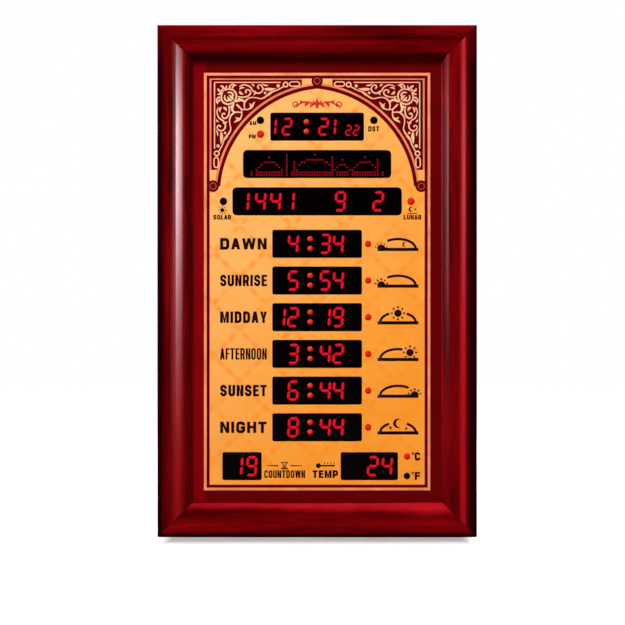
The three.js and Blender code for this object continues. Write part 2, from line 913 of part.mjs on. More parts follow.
function coinHolder() {
  const top = mainBoardFront + holderHeight;
  const holder = block(coinX, coinY, holderSide, holderSide, mainBoardRoot, top);
  const well = post(coinX, coinY, coinRadius + seatGap, top - coinSink, top + overrun, speakerSides);
  return cut(holder, [well]);
}

function mainBoardSolid() {
  const outline = rectangle(sideMiddle, mainBoardMiddle, mainBoardWidth, mainBoardHeight);
  const holes = mainBoardPosts().map(([x, y]) => pinHole(x, y));
  const parts = mainBoardParts.map(({ placeShares, size: [width, height, rise] }) =>
    block(...mainBoardPlace(placeShares), width, height, mainBoardRoot, mainBoardFront + rise),
  );
  const capacitorTop = mainBoardFront + capacitorHeight;
  const capacitors = capacitorPlaceShares.map((shares) =>
    post(...mainBoardPlace(shares), capacitorRadius, mainBoardRoot, capacitorTop, holeSides),
  );
  const headerX = mainBoardLeft + headerWidth / 2;
  const header = block(headerX, headerY, headerWidth, headerLength, coverFront + 2 * seatGap, mainBoardRoot);
  const sheet = slab(outline, mainBoardBack, mainBoardFront, holes);
  return join([sheet, coinHolder(), header, ...parts, ...capacitors]);
}

function addMainBoard() {
  add("main_board", mainBoardSolid(), materials.board);
  const coinLow = mainBoardFront + holderHeight - coinSink + seatGap;
  const coin = post(coinX, coinY, coinRadius, coinLow, coinLow + coinThickness, speakerSides);
  add("coin_cell", coin, materials.steel);
}

// Power jack: it lies on the main board and its barrel opens downwards into the cup.

const jackMiddle = mainBoardFront + seatGap + jackHeight / 2;
const jackBodyBottom = mainBoardBottom - seatGap;
const cupTop = jackBodyBottom - cupWall - seatGap;
const cupMiddle = cupTop - cupHeight / 2;
const cupFloor = jackMiddle + jackBarrelRadius + cupMargin;
const jackFace = cupTop - jackNose;

// A solid drawn along z from 0, laid down so that it runs upwards from y.
function laidUpwards(solid, y) {
  return solid.rotate([-90, 0, 0]).translate([sideMiddle, y, jackMiddle]);
}

function jackBore() {
  const bore = post(0, 0, jackBoreRadius, -overrun, jackBoreDepth, holeSides);
  const pin = post(0, 0, jackPinRadius, -overrun - overrun, jackBoreDepth + overrun, postSides);
  const trimmed = cut(pin, [post(0, 0, jackBoreRadius, -overrun - overrun, overrun, holeSides)]);
  return laidUpwards(cut(bore, [trimmed]), jackFace);
}

function jackSolid() {
  const body = block(
    sideMiddle,
    jackBodyBottom + jackLength / 2,
    jackWidth,
    jackLength,
    jackMiddle - jackHeight / 2,
    jackMiddle + jackHeight / 2,
  );
  const barrelLength = jackBodyBottom - jackFace + overrun;
  const barrel = laidUpwards(post(0, 0, jackBarrelRadius, 0, barrelLength, holeSides), jackFace);
  return cut(join([body, barrel]), [jackBore()]);
}

// Back cover: a flat moulding with posts for the boards and a hole for the cup

function coverSlot(x, y, length, width) {
  return block(x, y, length, width, coverRecess - overrun, coverFront + overrun);
}

// Level slots, each as long as the round grille is wide at its height
function grilleCuts() {
  const middle = (grilleSlots - 1) / 2;
  return Array.from({ length: grilleSlots }, (_, i) => {
    const rise = (i - middle) * grillePitch;
    const length = 2 * Math.sqrt(grilleRadius ** 2 - rise ** 2);
    return coverSlot(-sideMiddle, speakerHeight + rise, length, grilleSlotWidth);
  });
}

function ventCuts() {
  const cuts = [];
  for (const x of [-sideMiddle, sideMiddle]) {
    for (let i = 0; i < ventCount; i++) {
      cuts.push(coverSlot(x, frameHeight - ventFromTop - i * ventPitch, ventLength, ventWidth));
      cuts.push(coverSlot(x, ventFromBottom + i * ventPitch, ventLength, ventWidth));
    }
  }
  return cuts;
}

function buttonPlaces() {
  const middle = (buttonNames.length - 1) / 2;
  return buttonNames.map((name, i) => ({
    name: "button_" + name,
    x: -sideMiddle + (i - middle) * buttonPitch,
    y: buttonRowHeight,
  }));
}

const controlBoardHigh = knobHeight + controlBoardMargin;
const controlBoardLow = buttonRowHeight - controlBoardMargin;
const controlBoardMiddle = (controlBoardHigh + controlBoardLow) / 2;
const controlBoardHeight = controlBoardHigh - controlBoardLow;

function controlBoardPosts() {
  return boardCorners(-sideMiddle, controlBoardMiddle, mainBoardWidth, controlBoardHeight).filter(
    ([, y]) => y > controlBoardMiddle,
  );
}

// A post up to the back of a board, with a pin that ends flush with the board's front.
function pinnedPost([x, y], boardLow) {
  const root = coverRecess + coverThickness / 2;
  return join([
    post(x, y, postRadius, root, boardLow - seatGap),
    post(x, y, postPinRadius, root, boardLow + boardThickness),
  ]);
}

// The outside of the cup's walls, as seen from the front, with a margin round it
function cupOutline(margin) {
  const width = cupWidth + 2 * (cupWall + margin);
  const height = cupHeight + 2 * (cupWall + margin);
  return rectangle(sideMiddle, cupMiddle, width, height);
}

function jackCupSolid() {
  const flangeLow = coverFront + seatGap;
  const shell = slab(cupOutline(0), coverRecess, cupFloor + cupWall);
  const flange = slab(cupOutline(cupFlangeWidth), flangeLow, flangeLow + cupFlangeThickness);
  const hollow = block(sideMiddle, cupMiddle, cupWidth, cupHeight, coverRecess - overrun, cupFloor);
  const holeLength = cupWall + 2 * overrun;
  const barrelHole = post(0, 0, jackBarrelRadius + seatGap, 0, holeLength, holeSides);
  return cut(join([shell, flange]), [hollow, laidUpwards(barrelHole, cupTop - overrun)]);
}

function backCoverSolid() {
  const width = frameWidth - 2 * (backStripWidth + seatGap);
  const height = frameHeight - 2 * (backStripWidth + seatGap);
  const screwHoles = coverScrewRows.flatMap((y) => [
    circle(-coverScrewX, y, screwRadius + seatGap, postSides),
    circle(coverScrewX, y, screwRadius + seatGap, postSides),
  ]);
  const buttonHoles = buttonPlaces().map(({ x, y }) => circle(x, y, buttonRadius + seatGap));
  const shaftHole = circle(-sideMiddle, knobHeight, shaftRadius + seatGap);
  const holes = [cupOutline(seatGap), ...screwHoles, ...buttonHoles, shaftHole];
  const sheet = slab(rectangle(0, frameHeight / 2, width, height), coverRecess, coverFront, holes);
  const posts = [
    ...displayPosts().map((place) => pinnedPost(place, boardBack)),
    ...mainBoardPosts().map((place) => pinnedPost(place, mainBoardBack)),
    ...controlBoardPosts().map((place) => pinnedPost(place, controlBoardBack)),
  ];
  return cut(join([sheet, ...posts]), [...grilleCuts(), ...ventCuts()]);
}

// A pan-head screw with its axis along z, its head's underside at z = seat, and a slot for the driver.
function screwSolid(x, y, seat) {
  const profile = [
    [0, seat - screwHeadHeight],
    [screwHeadRadius - screwHeadHeight / 2, seat - screwHeadHeight],
    [screwHeadRadius, seat - screwHeadHeight / 2],
    [screwHeadRadius, seat],
    [screwRadius, seat],
    [screwRadius, seat + screwLength - screwTip],
    [0, seat + screwLength],
  ];
  const top = seat - screwHeadHeight;
  const slotLength = 2 * (screwHeadRadius + overrun);
  const driverSlot = block(x, y, screwSlotWidth, slotLength, top - overrun, top + screwSlotDepth);
  return cut(turned(profile, x, y, screwSides), [driverSlot]);
}

function addBackCover() {
  add("back_cover", backCoverSolid(), materials.plastic);
  add("power_jack", jackSolid(), materials.plastic);
  add("jack_cup", jackCupSolid(), materials.plastic);
  coverScrewRows.forEach((y, i) => {
    const row = ["lower", "middle", "upper"][i];
    add("cover_screw_left_" + row, screwSolid(-coverScrewX, y, coverRecess - seatGap), materials.steel);
    add("cover_screw_right_" + row, screwSolid(coverScrewX, y, coverRecess - seatGap), materials.steel);
  });
}

// Keyhole hangers, let into the backs of the side rails

function keyhole(x) {
  const y = hangerY - keyholeDrop;
  const half = keyholeSlotWidth / 2;
  const meet = Math.asin(half / keyholeRadius);
  return [
    ...arc(x, y, keyholeRadius, keyholeRadius, quarterTurn + meet, 5 * quarterTurn - meet, holeSides),
    ...arc(x, y + keyholeRise, half, half, 0, 2 * quarterTurn, cornerSteps * 2),
  ];
}

function addHangers() {
  for (const [name, side] of [
    ["left", -1],
    ["right", 1],
  ]) {
    const x = side * hangerX;
    const outer = hangerRecess - seatGap - hangerThickness;
    const holes = [keyhole(x), ...hangerScrewRows().map((y) => circle(x, y, screwRadius + seatGap, postSides))];
    const plate = slab(hangerPlate(x, 0), outer, outer + hangerThickness, holes);
    add("hanger_" + name, plate, materials.steel);
    hangerScrewRows().forEach((y, i) => {
      const row = ["upper", "lower"][i];
      add("hanger_screw_" + name + "_" + row, screwSolid(x, y, outer - seatGap), materials.steel);
    });
  }
}

// Speaker, facing the grille in the cover

function addSpeaker() {
  const x = -sideMiddle;
  const y = speakerHeight;
  const low = coverFront + seatGap;
  const neck = low + speakerNeckHeight;
  const rim = speakerRadius - speakerFlangeWidth;
  const basket = [
    [rim, low],
    [speakerRadius, low],
    [speakerRadius, low + speakerFlangeThickness],
    [rim, low + speakerFlangeThickness],
    [speakerNeckRadius, neck],
    [magnetRadius, neck],
    [magnetRadius, neck + magnetThickness],
    [0, neck + magnetThickness],
    [0, neck],
    [speakerNeckRadius - speakerWall, neck - speakerWall],
    [rim - speakerWall, low + speakerFlangeThickness],
    [rim - speakerWall, low],
  ];
  const closed = [...basket, basket[0]];
  add("speaker_basket", turned(closed, x, y, speakerSides), materials.steel);
  const coneRim = rim - speakerWall - seatGap;
  const coneLow = low + seatGap;
  const cone = [
    [dustCapRadius, coneLow + coneDepth],
    [coneRim - speakerWall, coneLow],
    [coneRim, coneLow],
    [coneRim, coneLow + coneThickness],
    [dustCapRadius, coneLow + coneDepth + coneThickness],
    [0, coneLow + coneDepth + coneThickness],
    [0, coneLow + coneDepth - coneThickness],
  ];
  add("speaker_cone", turned([...cone, cone[0]], x, y, speakerSides), materials.cone);
}

// Controls: four push buttons and a volume knob, with the board behind them

function buttonSolid({ x, y }) {
  const flangeLow = coverFront + seatGap;
  const flangeHigh = flangeLow + buttonFlangeThickness;
  const stemEnd = controlBoardBack - switchHeight - seatGap - buttonTravel;
  const profile = [
    [0, coverRecess - buttonProud],
    [buttonRadius - buttonFlange / 2, coverRecess - buttonProud],
    [buttonRadius, coverRecess - buttonProud + buttonFlange / 2],
    [buttonRadius, flangeLow],
    [buttonRadius + buttonFlange, flangeLow],
    [buttonRadius + buttonFlange, flangeHigh],
    [buttonStemRadius, flangeHigh],
    [buttonStemRadius, stemEnd],
    [0, stemEnd],
  ];
  return turned(profile, x, y, holeSides);
}

function knobOutline() {
  const outline = [];
  for (let i = 0; i < knobSides * 2; i++) {
    const radius = knobRadius - (i % 2) * knobGripDepth;
    const angle = (i * 2 * quarterTurn) / knobSides;
    outline.push([-sideMiddle + radius * Math.cos(angle), knobHeight + radius * Math.sin(angle)]);
  }
  return outline;
}

function knobSolid() {
  const outer = coverRecess - seatGap;
  const face = outer - knobThickness;
  const x = -sideMiddle;
  const markLength = knobRadius - shaftRadius;
  const mark = block(
    x,
    knobHeight + shaftRadius + markLength / 2,
    knobMarkWidth,
    markLength,
    face - overrun,
    face + knobMarkDepth,
  );
  const shaft = post(x, knobHeight, shaftRadius, outer - knobThickness / 2, shaftEnd, holeSides);
  return cut(join([slab(knobOutline(), face, outer), shaft]), [mark]);
}

const potentiometerLow = coverFront + seatGap;
const shaftEnd = potentiometerLow + shaftEngagement;

function addControls() {
  const x = -sideMiddle;
  const outline = rectangle(x, controlBoardMiddle, mainBoardWidth, controlBoardHeight);
  const holes = controlBoardPosts().map(([px, py]) => pinHole(px, py));
  const front = controlBoardBack + boardThickness;
  const switchLow = controlBoardBack - switchHeight;
  const switchHigh = controlBoardBack + boardThickness / 2;
  const switches = buttonPlaces().map((place) =>
    block(place.x, place.y, switchSide, switchSide, switchLow, switchHigh),
  );
  add("control_board", join([slab(outline, controlBoardBack, front, holes), ...switches]), materials.board);
  for (const place of buttonPlaces()) add(place.name, buttonSolid(place), materials.plastic);
  add("volume_knob", knobSolid(), materials.plastic);
  const bodyEnd = controlBoardBack - seatGap;
  const wellStart = potentiometerLow - overrun;
  const wellEnd = shaftEnd + seatGap;
  const body = post(x, knobHeight, potentiometerRadius, potentiometerLow, bodyEnd, holeSides);
  const well = post(x, knobHeight, shaftRadius + seatGap, wellStart, wellEnd, holeSides);
  add("volume_potentiometer", cut(body, [well]), materials.steel);
}

// Wiring

function addWiring() {
  const startX = -sideMiddle + speakerRadius + seatGap;
  const start = new THREE.Vector3(startX, speakerHeight, coverFront + leadHeight);
  const end = new THREE.Vector3(mainBoardLeft - seatGap, speakerHeight, mainBoardBack + boardThickness / 2);
  const sag = (end.x - start.x) * leadSagShare;
  const along = (share, drop) => new THREE.Vector3(between(start.x, end.x, share), start.y - drop, start.z);
  const route = new THREE.CatmullRomCurve3([
    start,
    along(0.08, 0),
    along(0.3, sag),
    along(0.7, sag),
    along(0.9, 0),
    end,
  ]);
  const section = new THREE.Shape(points(circle(0, 0, leadRadius, leadSides)));
  const options = { extrudePath: route, steps: leadSteps, bevelEnabled: false };
  const tube = new THREE.ExtrudeGeometry(section, options);
  add("speaker_lead", solidOf(tube), materials.cable);

  const from = [headerFromMiddle + headerWidth / 2 + seatGap, boardBack - headerHeight / 2];
  const to = [mainBoardLeft - seatGap, mainBoardBack - lowPostHeight / 2];
  const line = [from, [from[0] + ribbonRun, from[1]], [to[0] - ribbonRun, to[1]], to];
  const under = line.map(([x, z]) => [x, z - ribbonThickness]).reverse();
  const profile = new THREE.Shape(points([...line, ...under]));
  const strip = new THREE.ExtrudeGeometry(profile, { depth: ribbonWidth, bevelEnabled: false });
  strip.rotateX(quarterTurn).translate(0, headerY + ribbonWidth / 2, 0);
  add("ribbon_cable", solidOf(strip), materials.cable);
}

addFrame();
addPanelStack();
addDisplays();
addMainBoard();
addBackCover();
addHangers();
addSpeaker();
addControls();
addWiring();

// Stand the drawing upright, centred front to back.
clock.rotation.x = quarterTurn;
clock.position.y = frameDepth / 2;

export default clock;
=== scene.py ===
"""Looks of a prayer-time wall clock, modelled round its packed parts.

Everything is in metres in the frame of the parts: +X to the viewer's right, -Y out of the printed face,
+Z up from the bottom edge. Numbers that describe the print are millimetres and pass through MM.
"""
import math

import bmesh
import bpy
from bpy.props import FloatProperty, FloatVectorProperty, PointerProperty
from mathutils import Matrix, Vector


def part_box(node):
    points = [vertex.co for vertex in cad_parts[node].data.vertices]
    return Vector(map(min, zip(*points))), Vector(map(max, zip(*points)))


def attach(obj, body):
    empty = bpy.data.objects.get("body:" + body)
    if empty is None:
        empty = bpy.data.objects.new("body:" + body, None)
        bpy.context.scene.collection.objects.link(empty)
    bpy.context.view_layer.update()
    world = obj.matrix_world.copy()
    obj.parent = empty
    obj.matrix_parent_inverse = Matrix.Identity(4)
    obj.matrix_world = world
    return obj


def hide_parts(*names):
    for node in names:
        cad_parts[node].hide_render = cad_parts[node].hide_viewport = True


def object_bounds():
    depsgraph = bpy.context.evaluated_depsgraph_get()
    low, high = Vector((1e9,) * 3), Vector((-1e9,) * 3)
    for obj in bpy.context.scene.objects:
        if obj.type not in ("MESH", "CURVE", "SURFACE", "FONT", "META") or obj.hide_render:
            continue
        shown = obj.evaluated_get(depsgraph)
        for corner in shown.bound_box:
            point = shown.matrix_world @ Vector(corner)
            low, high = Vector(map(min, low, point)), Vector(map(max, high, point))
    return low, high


bl_info = {
    "name": "Prayer time wall clock",
    "version": (1, 0, 0),
    "blender": (4, 5, 0),
    "location": "View3D > Sidebar > Wall clock",
    "description": "Models the wood, print, lit figures and fittings of a large wall clock",
    "category": "Object",
}

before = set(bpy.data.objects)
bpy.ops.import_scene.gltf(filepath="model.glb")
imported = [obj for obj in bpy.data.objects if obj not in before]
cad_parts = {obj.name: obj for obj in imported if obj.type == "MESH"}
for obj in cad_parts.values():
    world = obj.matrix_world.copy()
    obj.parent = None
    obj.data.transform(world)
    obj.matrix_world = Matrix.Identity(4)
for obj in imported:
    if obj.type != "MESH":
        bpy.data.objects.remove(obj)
part_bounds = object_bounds()

MM = 0.001
TIMES = ["dawn", "sunrise", "noon", "afternoon", "sunset", "night"]
ROW_Z = {name: sum(v.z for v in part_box("display_" + name)) / 2 / MM for name in TIMES}
FACE_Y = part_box("front_panel")[0].y
BAR_Y = FACE_Y + 0.3 * MM
NODE_MERGE = 0.01 * MM
MESH_MERGE = 0.001 * MM
PRINT_SPECULAR = 0.006


def srgb(red, green, blue):
    """A colour given in levels of 0 to 255, as the linear colour that Blender's sockets take."""
    def linear(value):
        value /= 255
        return value / 12.92 if value <= 0.04045 else ((value + 0.055) / 1.055) ** 2.4

    return (linear(red), linear(green), linear(blue), 1.0)


def colour_property(name, description, *levels):
    return FloatVectorProperty(
        name=name, description=description, default=srgb(*levels), size=4, min=0, max=1, subtype="COLOR"
    )


def length_property(name, description, millimetres):
    return FloatProperty(name=name, description=description, default=millimetres * MM, min=0, unit="LENGTH")


def power_property(name, description, watts):
    return FloatProperty(name=name, description=description, default=watts, min=0)


class ClockPrint(bpy.types.PropertyGroup):
    """Sizes and colours of the printed panel"""

    layer: length_property("Ink layer", "Thickness of one printed layer", 0.05)
    field_half_width: length_property("Field half width", "From the middle to the side of the gold field", 157.6)
    field_low: length_property("Field bottom", "Height of the gold field's bottom edge", 76.6)
    field_high: length_property("Field top", "Height of the gold field's top edge", 672.0)
    line_gap: length_property("Line gap", "Maroon between the gold field and the gold line round it", 4.4)
    line_width: length_property("Line width", "Width of the gold line round the field", 3.9)
    arch_radius: length_property("Arch radius", "Radius of each half of the pointed arch", 156.95)
    arch_overlap: length_property("Arch overlap", "How far each half's centre lies past the middle", 14.55)
    arch_centre: length_property("Arch centre", "Height of the centres of the arch", 500.9)
    arch_spring: length_property("Arch spring", "Height at which the arch starts", 514.2)
    arch_band: length_property("Arch band", "Width of the maroon band outside the arch", 5.2)
    arch_line: length_property("Arch line", "Width of the gold line outside the band", 3.2)
    field_light: colour_property("Field, light", "Gold of the field's upper left", 253, 187, 110)
    field_deep: colour_property("Field, deep", "Gold of the field's lower right", 255, 153, 42)
    lattice: colour_property("Lattice", "Orange of the soft lattice in the field", 255, 143, 34)
    # painted light: the maroon left of the field is lit lighter
    maroon_painted_light: colour_property("Maroon, light", "Maroon ink at the left", 134, 5, 14)
    maroon_deep: colour_property("Maroon, deep", "Maroon ink elsewhere", 104, 2, 5)
    gold_line: colour_property("Gold line", "Ink of the gold lines", 255, 155, 105)
    ornament: colour_property("Ornament", "Cream ink of the scrollwork", 255, 198, 150)
    ink: colour_property("Black ink", "Ink of the words and signs", 26, 3, 1)
    crimson: colour_property("Crimson ink", "Ink of the small leaf ornament over the clock", 222, 52, 46)


class ClockLights(bpy.types.PropertyGroup):
    """Colours of the lit figures and lamps"""

    figure: colour_property("Figures", "Lit bars of the figures", 232, 18, 38)
    figure_edge: colour_property("Figure edges", "Edges of the lit bars", 165, 6, 20)
    dot: colour_property("Dots", "Lit dots of the message", 150, 12, 28)
    # the lamp's glow, with a painted highlight where its dome faces up and left
    lamp_glow_and_highlight: colour_property("Lamp crown", "Middle of a lit lamp", 250, 44, 10)
    lamp_foot: colour_property("Lamp foot", "Rim of a lit lamp", 178, 6, 0)
    dot_pitch: length_property("Dot pitch", "Spacing of the message's dots", 3.7)
    dot_radius: length_property("Dot radius", "Radius of one dot", 1.35)


class ClockWood(bpy.types.PropertyGroup):
    """Stain, painted light and lacquer of the frame"""

    dark: colour_property("Dark grain", "Stain in the dark streaks", 52, 0, 2)
    red: colour_property("Red grain", "Stain in the light streaks", 150, 8, 15)
    # painted light: the stain's colour where light is painted on the rails' slopes
    painted_light: colour_property("Painted light on the stain", "Stain painted brighter where the light falls", 226, 30, 44)
    raw: colour_property("Bare board", "Unfinished backs of the rails", 176, 138, 100)
    lacquer_roughness: FloatProperty(
        name="Lacquer roughness", description="Blur of the lacquer's highlights", default=0.4, min=0, max=1,
        subtype="FACTOR",
    )


class ClockStage(bpy.types.PropertyGroup):
    """Camera and light"""

    distance: length_property("Camera distance", "From the camera to the clock", 4000.0)
    picture_width: length_property("Picture width", "Width that the picture covers at the clock", 918.4)
    aim_x: FloatProperty(
        name="Aim across", description="Where the camera looks, across", default=-6.8 * MM, unit="LENGTH"
    )
    aim_z: length_property("Aim height", "Where the camera looks, up", 329.0)
    key_power: power_property("Overhead light", "Watts of the light overhead", 5)
    side_power: power_property("Side light", "Watts of the gloss strip at the left", 2000)
    fill_power: power_property("Front light", "Watts of the high light in front", 172)
    back_power: power_property("Back light", "Watts of the light behind", 60)
    room_level: FloatProperty(name="Room level", description="Light of the room itself", default=0.2, min=0)


# Modelling helpers


def select_only(piece):
    """Leaves object mode selected on this piece alone."""
    if bpy.context.object and bpy.context.object.mode != "OBJECT":
        bpy.ops.object.mode_set(mode="OBJECT")
    bpy.ops.object.select_all(action="DESELECT")
    piece.select_set(True)
    bpy.context.view_layer.objects.active = piece


def enter_edit(piece, mode="FACE"):
    """Opens a piece in edit mode with all of it selected."""
    select_only(piece)
    bpy.ops.object.mode_set(mode="EDIT")
    bpy.ops.mesh.select_mode(type=mode)
    bpy.ops.mesh.select_all(action="SELECT")


def leave_edit():
    bpy.ops.object.mode_set(mode="OBJECT")


def pick_faces(piece, wanted):
    """Selects, in edit mode, just the faces for which wanted(face) is true."""
    mesh = bmesh.from_edit_mesh(piece.data)
    for face in mesh.faces:
        face.select_set(bool(wanted(face)))
    bmesh.update_edit_mesh(piece.data)


def finish_with(piece, kind, **settings):
    """Adds a modifier with these settings and applies it."""
    modifier = piece.modifiers.new(kind.title(), kind)
    for setting, value in settings.items():
        setattr(modifier, setting, value)
    select_only(piece)
    bpy.ops.object.modifier_apply(modifier=modifier.name)


def apply_place(piece):
    select_only(piece)
    bpy.ops.object.transform_apply(location=True, rotation=True, scale=True)


def join_pieces(pieces):
    """Joins pieces into the first of them."""
    select_only(pieces[0])
    for piece in pieces[1:]:
        piece.select_set(True)
    if len(pieces) > 1:
        bpy.ops.object.join()
    return pieces[0]


def copy_of_node(node):
    """A merged copy of a part's node, as a new piece."""
    piece = bpy.data.objects.new(node + ".copy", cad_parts[node].data.copy())
    bpy.context.scene.collection.objects.link(piece)
    enter_edit(piece)
    bpy.ops.mesh.remove_doubles(threshold=NODE_MERGE)
    leave_edit()
    return piece


def soft_copy(node, width):
    """A copy of a part's node with flat faces joined up and arrises rounded."""
    piece = copy_of_node(node)
    enter_edit(piece)
    bpy.ops.mesh.dissolve_limited(angle_limit=math.radians(0.5))
    leave_edit()
    finish_with(piece, "BEVEL", width=width, segments=2, limit_method="ANGLE", angle_limit=math.radians(40))
    return piece


def copy_of_piece(piece, offset=(0, 0, 0)):
    """A copy with its own mesh, moved by an offset."""
    twin = bpy.data.objects.new(piece.name, piece.data.copy())
    bpy.context.scene.collection.objects.link(twin)
    twin.location = offset
    apply_place(twin)
    return twin


def mirrored_copy(piece):
    """A copy with its own mesh on the other side of the middle, with its faces still outwards."""
    twin = copy_of_piece(piece)
    enter_edit(twin)
    bpy.ops.transform.resize(value=(-1, 1, 1), center_override=(0, 0, 0))
    bpy.ops.mesh.normals_make_consistent(inside=False)
    leave_edit()
    return twin


def dress(piece, name, finish, body="case", replaces=(), smooth_degrees=None):
    """Names a finished piece, gives it its material and lets it ride on its body."""
    piece.name = name
    piece.data.name = name
    piece.data.materials.clear()
    piece.data.materials.append(materials()[finish])
    if smooth_degrees:
        select_only(piece)
        bpy.ops.object.shade_smooth_by_angle(angle=math.radians(smooth_degrees))
    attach(piece, body)
    if replaces:
        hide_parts(*replaces)
    return piece


def dress_node(node, finish):
    """Gives a part's node, whose shape stays, a better material."""
    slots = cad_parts[node].data.materials
    slots.clear()
    slots.append(materials()[finish])


def box_mm(node):
    """A node's lower and upper corner and its middle, in millimetres."""
    low, high = (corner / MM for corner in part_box(node))
    return low, high, (low + high) / 2


def circle_points(x, z, radius, count=32, start=0.0, sweep=math.tau):
    whole = abs(sweep - math.tau) < 1e-6
    steps = count if whole else count - 1
    return [
        (x + radius * math.cos(start + sweep * i / steps), z + radius * math.sin(start + sweep * i / steps))
        for i in range(count)
    ]


def rectangle_points(left, low, right, high):
    return [(left, low), (right, low), (right, high), (left, high)]


def dome(radius, foot, rise, count):
    """Profile of a dome, from its crown to its rim, as (radius, y) points."""
    turns = [math.pi / 2 * i / count for i in range(count + 1)]
    return [(radius * math.sin(turn), foot - rise * math.cos(turn)) for turn in turns]


def new_curve(dimensions):
    """A curve with no splines yet."""
    bpy.ops.object.select_all(action="DESELECT")
    bpy.ops.curve.primitive_bezier_curve_add()
    piece = bpy.context.object
    piece.data.dimensions = dimensions
    piece.data.splines.clear()
    return piece


def add_path(curve, points, closed):
    """Adds a spline of straight runs through x, y, z points."""
    spline = curve.splines.new("POLY")
    spline.points.add(len(points) - 1)
    for point, place in zip(spline.points, points):
        point.co = (*place, 1)
    spline.use_cyclic_u = closed


def as_mesh(piece):
    select_only(piece)
    bpy.ops.object.convert(target="MESH")
    return bpy.context.object


def flat_plate(loops, front_y, thickness):
    """A filled flat curve, made a mesh and stood upright. Each loop is (x, z) millimetres; inner ones are holes."""
    piece = new_curve("2D")
    piece.data.fill_mode = "BOTH"
    for loop in loops:
        add_path(piece.data, [(x, z, 0) for x, z in loop], True)
    piece.data.extrude = thickness / 2 / MM
    piece = as_mesh(piece)
    piece.scale = (MM, MM, MM)
    piece.rotation_euler = (math.pi / 2, 0, 0)
    piece.location = (0, front_y + thickness / 2, 0)
    apply_place(piece)
    return piece


def scrollwork(strokes, front_y, rise):
    """Tapering strokes as round curves, made a mesh and pressed flat. A stroke is (points, widths, closed)."""
    piece = new_curve("3D")
    curve = piece.data
    for points, widths, closed in strokes:
        spline = curve.splines.new("BEZIER")
        spline.bezier_points.add(len(points) - 1)
        spline.use_cyclic_u = closed
        for place, (x, z), width in zip(spline.bezier_points, points, widths):
            place.co = (x, 0, z)
            place.radius = width / 2
            place.handle_left_type = "AUTO"
            place.handle_right_type = "AUTO"
    curve.bevel_depth = 1
    curve.bevel_resolution = 1
    curve.resolution_u = 5
    curve.use_fill_caps = True
    widest = max(width for _, widths, _ in strokes for width in widths) / 2
    piece = as_mesh(piece)
    enter_edit(piece)
    bpy.ops.mesh.remove_doubles(threshold=MESH_MERGE / MM)
    bpy.ops.transform.resize(value=(1, rise / (widest * MM), 1), center_override=(0, 0, 0))
    bpy.ops.mesh.normals_make_consistent(inside=False)
    leave_edit()
    piece.scale = (MM, MM, MM)
    piece.location = (0, front_y, 0)
    apply_place(piece)
    return piece


def turned(profile, x, z, steps=32):
    """Spins (radius, y) points in millimetres round the front-to-back axis through x, z in millimetres."""
    piece = new_curve("3D")
    add_path(piece.data, [((x + radius) * MM, y * MM, z * MM) for radius, y in profile], False)
    piece = as_mesh(piece)
    apply_place(piece)
    enter_edit(piece, "VERT")
    bpy.ops.mesh.spin(steps=steps, angle=math.tau, center=(x * MM, 0, z * MM), axis=(0, 1, 0))
    bpy.ops.mesh.select_all(action="SELECT")
    bpy.ops.mesh.remove_doubles(threshold=MESH_MERGE)
    bpy.ops.mesh.normals_make_consistent(inside=False)
    leave_edit()
    return piece


def block(low, high):
    """A plain block between two corners, in metres, to cut with."""
    bpy.ops.object.select_all(action="DESELECT")
    low, high = Vector(low), Vector(high)
    bpy.ops.mesh.primitive_cube_add(size=1, location=(low + high) / 2)
    piece = bpy.context.object
    piece.scale = high - low
    apply_place(piece)
    return piece


def ink_plate(loops, layers=1):
    """A flat shape of ink that stands a number of layers proud of the panel."""
    layer = bpy.context.scene.clock_print.layer
    return flat_plate(loops, FACE_Y - layers * layer, 2 * layer)


def print_shape(name, finish, loops, layers=1):
    """Prints a flat shape that has no more to it than its outlines."""
    dress(ink_plate(loops, layers), name, finish)


def dress_pair(left, name, finish, smooth_degrees=None):
    """Dresses a piece of the panel's left half and its mirrored twin on the right."""
    dress(mirrored_copy(left), name + "_right", finish, smooth_degrees=smooth_degrees)
    dress(left, name + "_left", finish, smooth_degrees=smooth_degrees)


def print_sign(name, strokes, loops):
    """Prints a sign of strokes and filled shapes."""
    layer = bpy.context.scene.clock_print.layer
    dress(join_pieces([scrollwork(strokes, FACE_Y, layer), ink_plate(loops)]), "sign." + name, "ink")


def ribbon(path, stroke, closed=False):
    """Outlines of a flat stroke of even width along a path: one loop if it is open, two if it is closed."""
    path = [point for i, point in enumerate(path) if i == 0 or math.dist(point, path[i - 1]) > 0.01]
    if closed and math.dist(path[0], path[-1]) < 0.01:
        path.pop()
    count = len(path)
    left, right = [], []
    for i, (x, z) in enumerate(path):
        before = path[i - 1] if closed or i else None
        after = path[(i + 1) % count] if closed or i < count - 1 else None
        ways = [Vector((x - before[0], z - before[1])).normalized()] if before else []
        ways += [Vector((after[0] - x, after[1] - z)).normalized()] if after else []
        normals = [Vector((-way.y, way.x)) for way in ways]
        normal = sum(normals, Vector((0, 0))).normalized()
        reach = stroke / 2 / max(0.5, normal.dot(normals[0]))
        left.append((x + normal.x * reach, z + normal.y * reach))
        right.append((x - normal.x * reach, z - normal.y * reach))
    return [left, right] if closed else [left + right[::-1]]


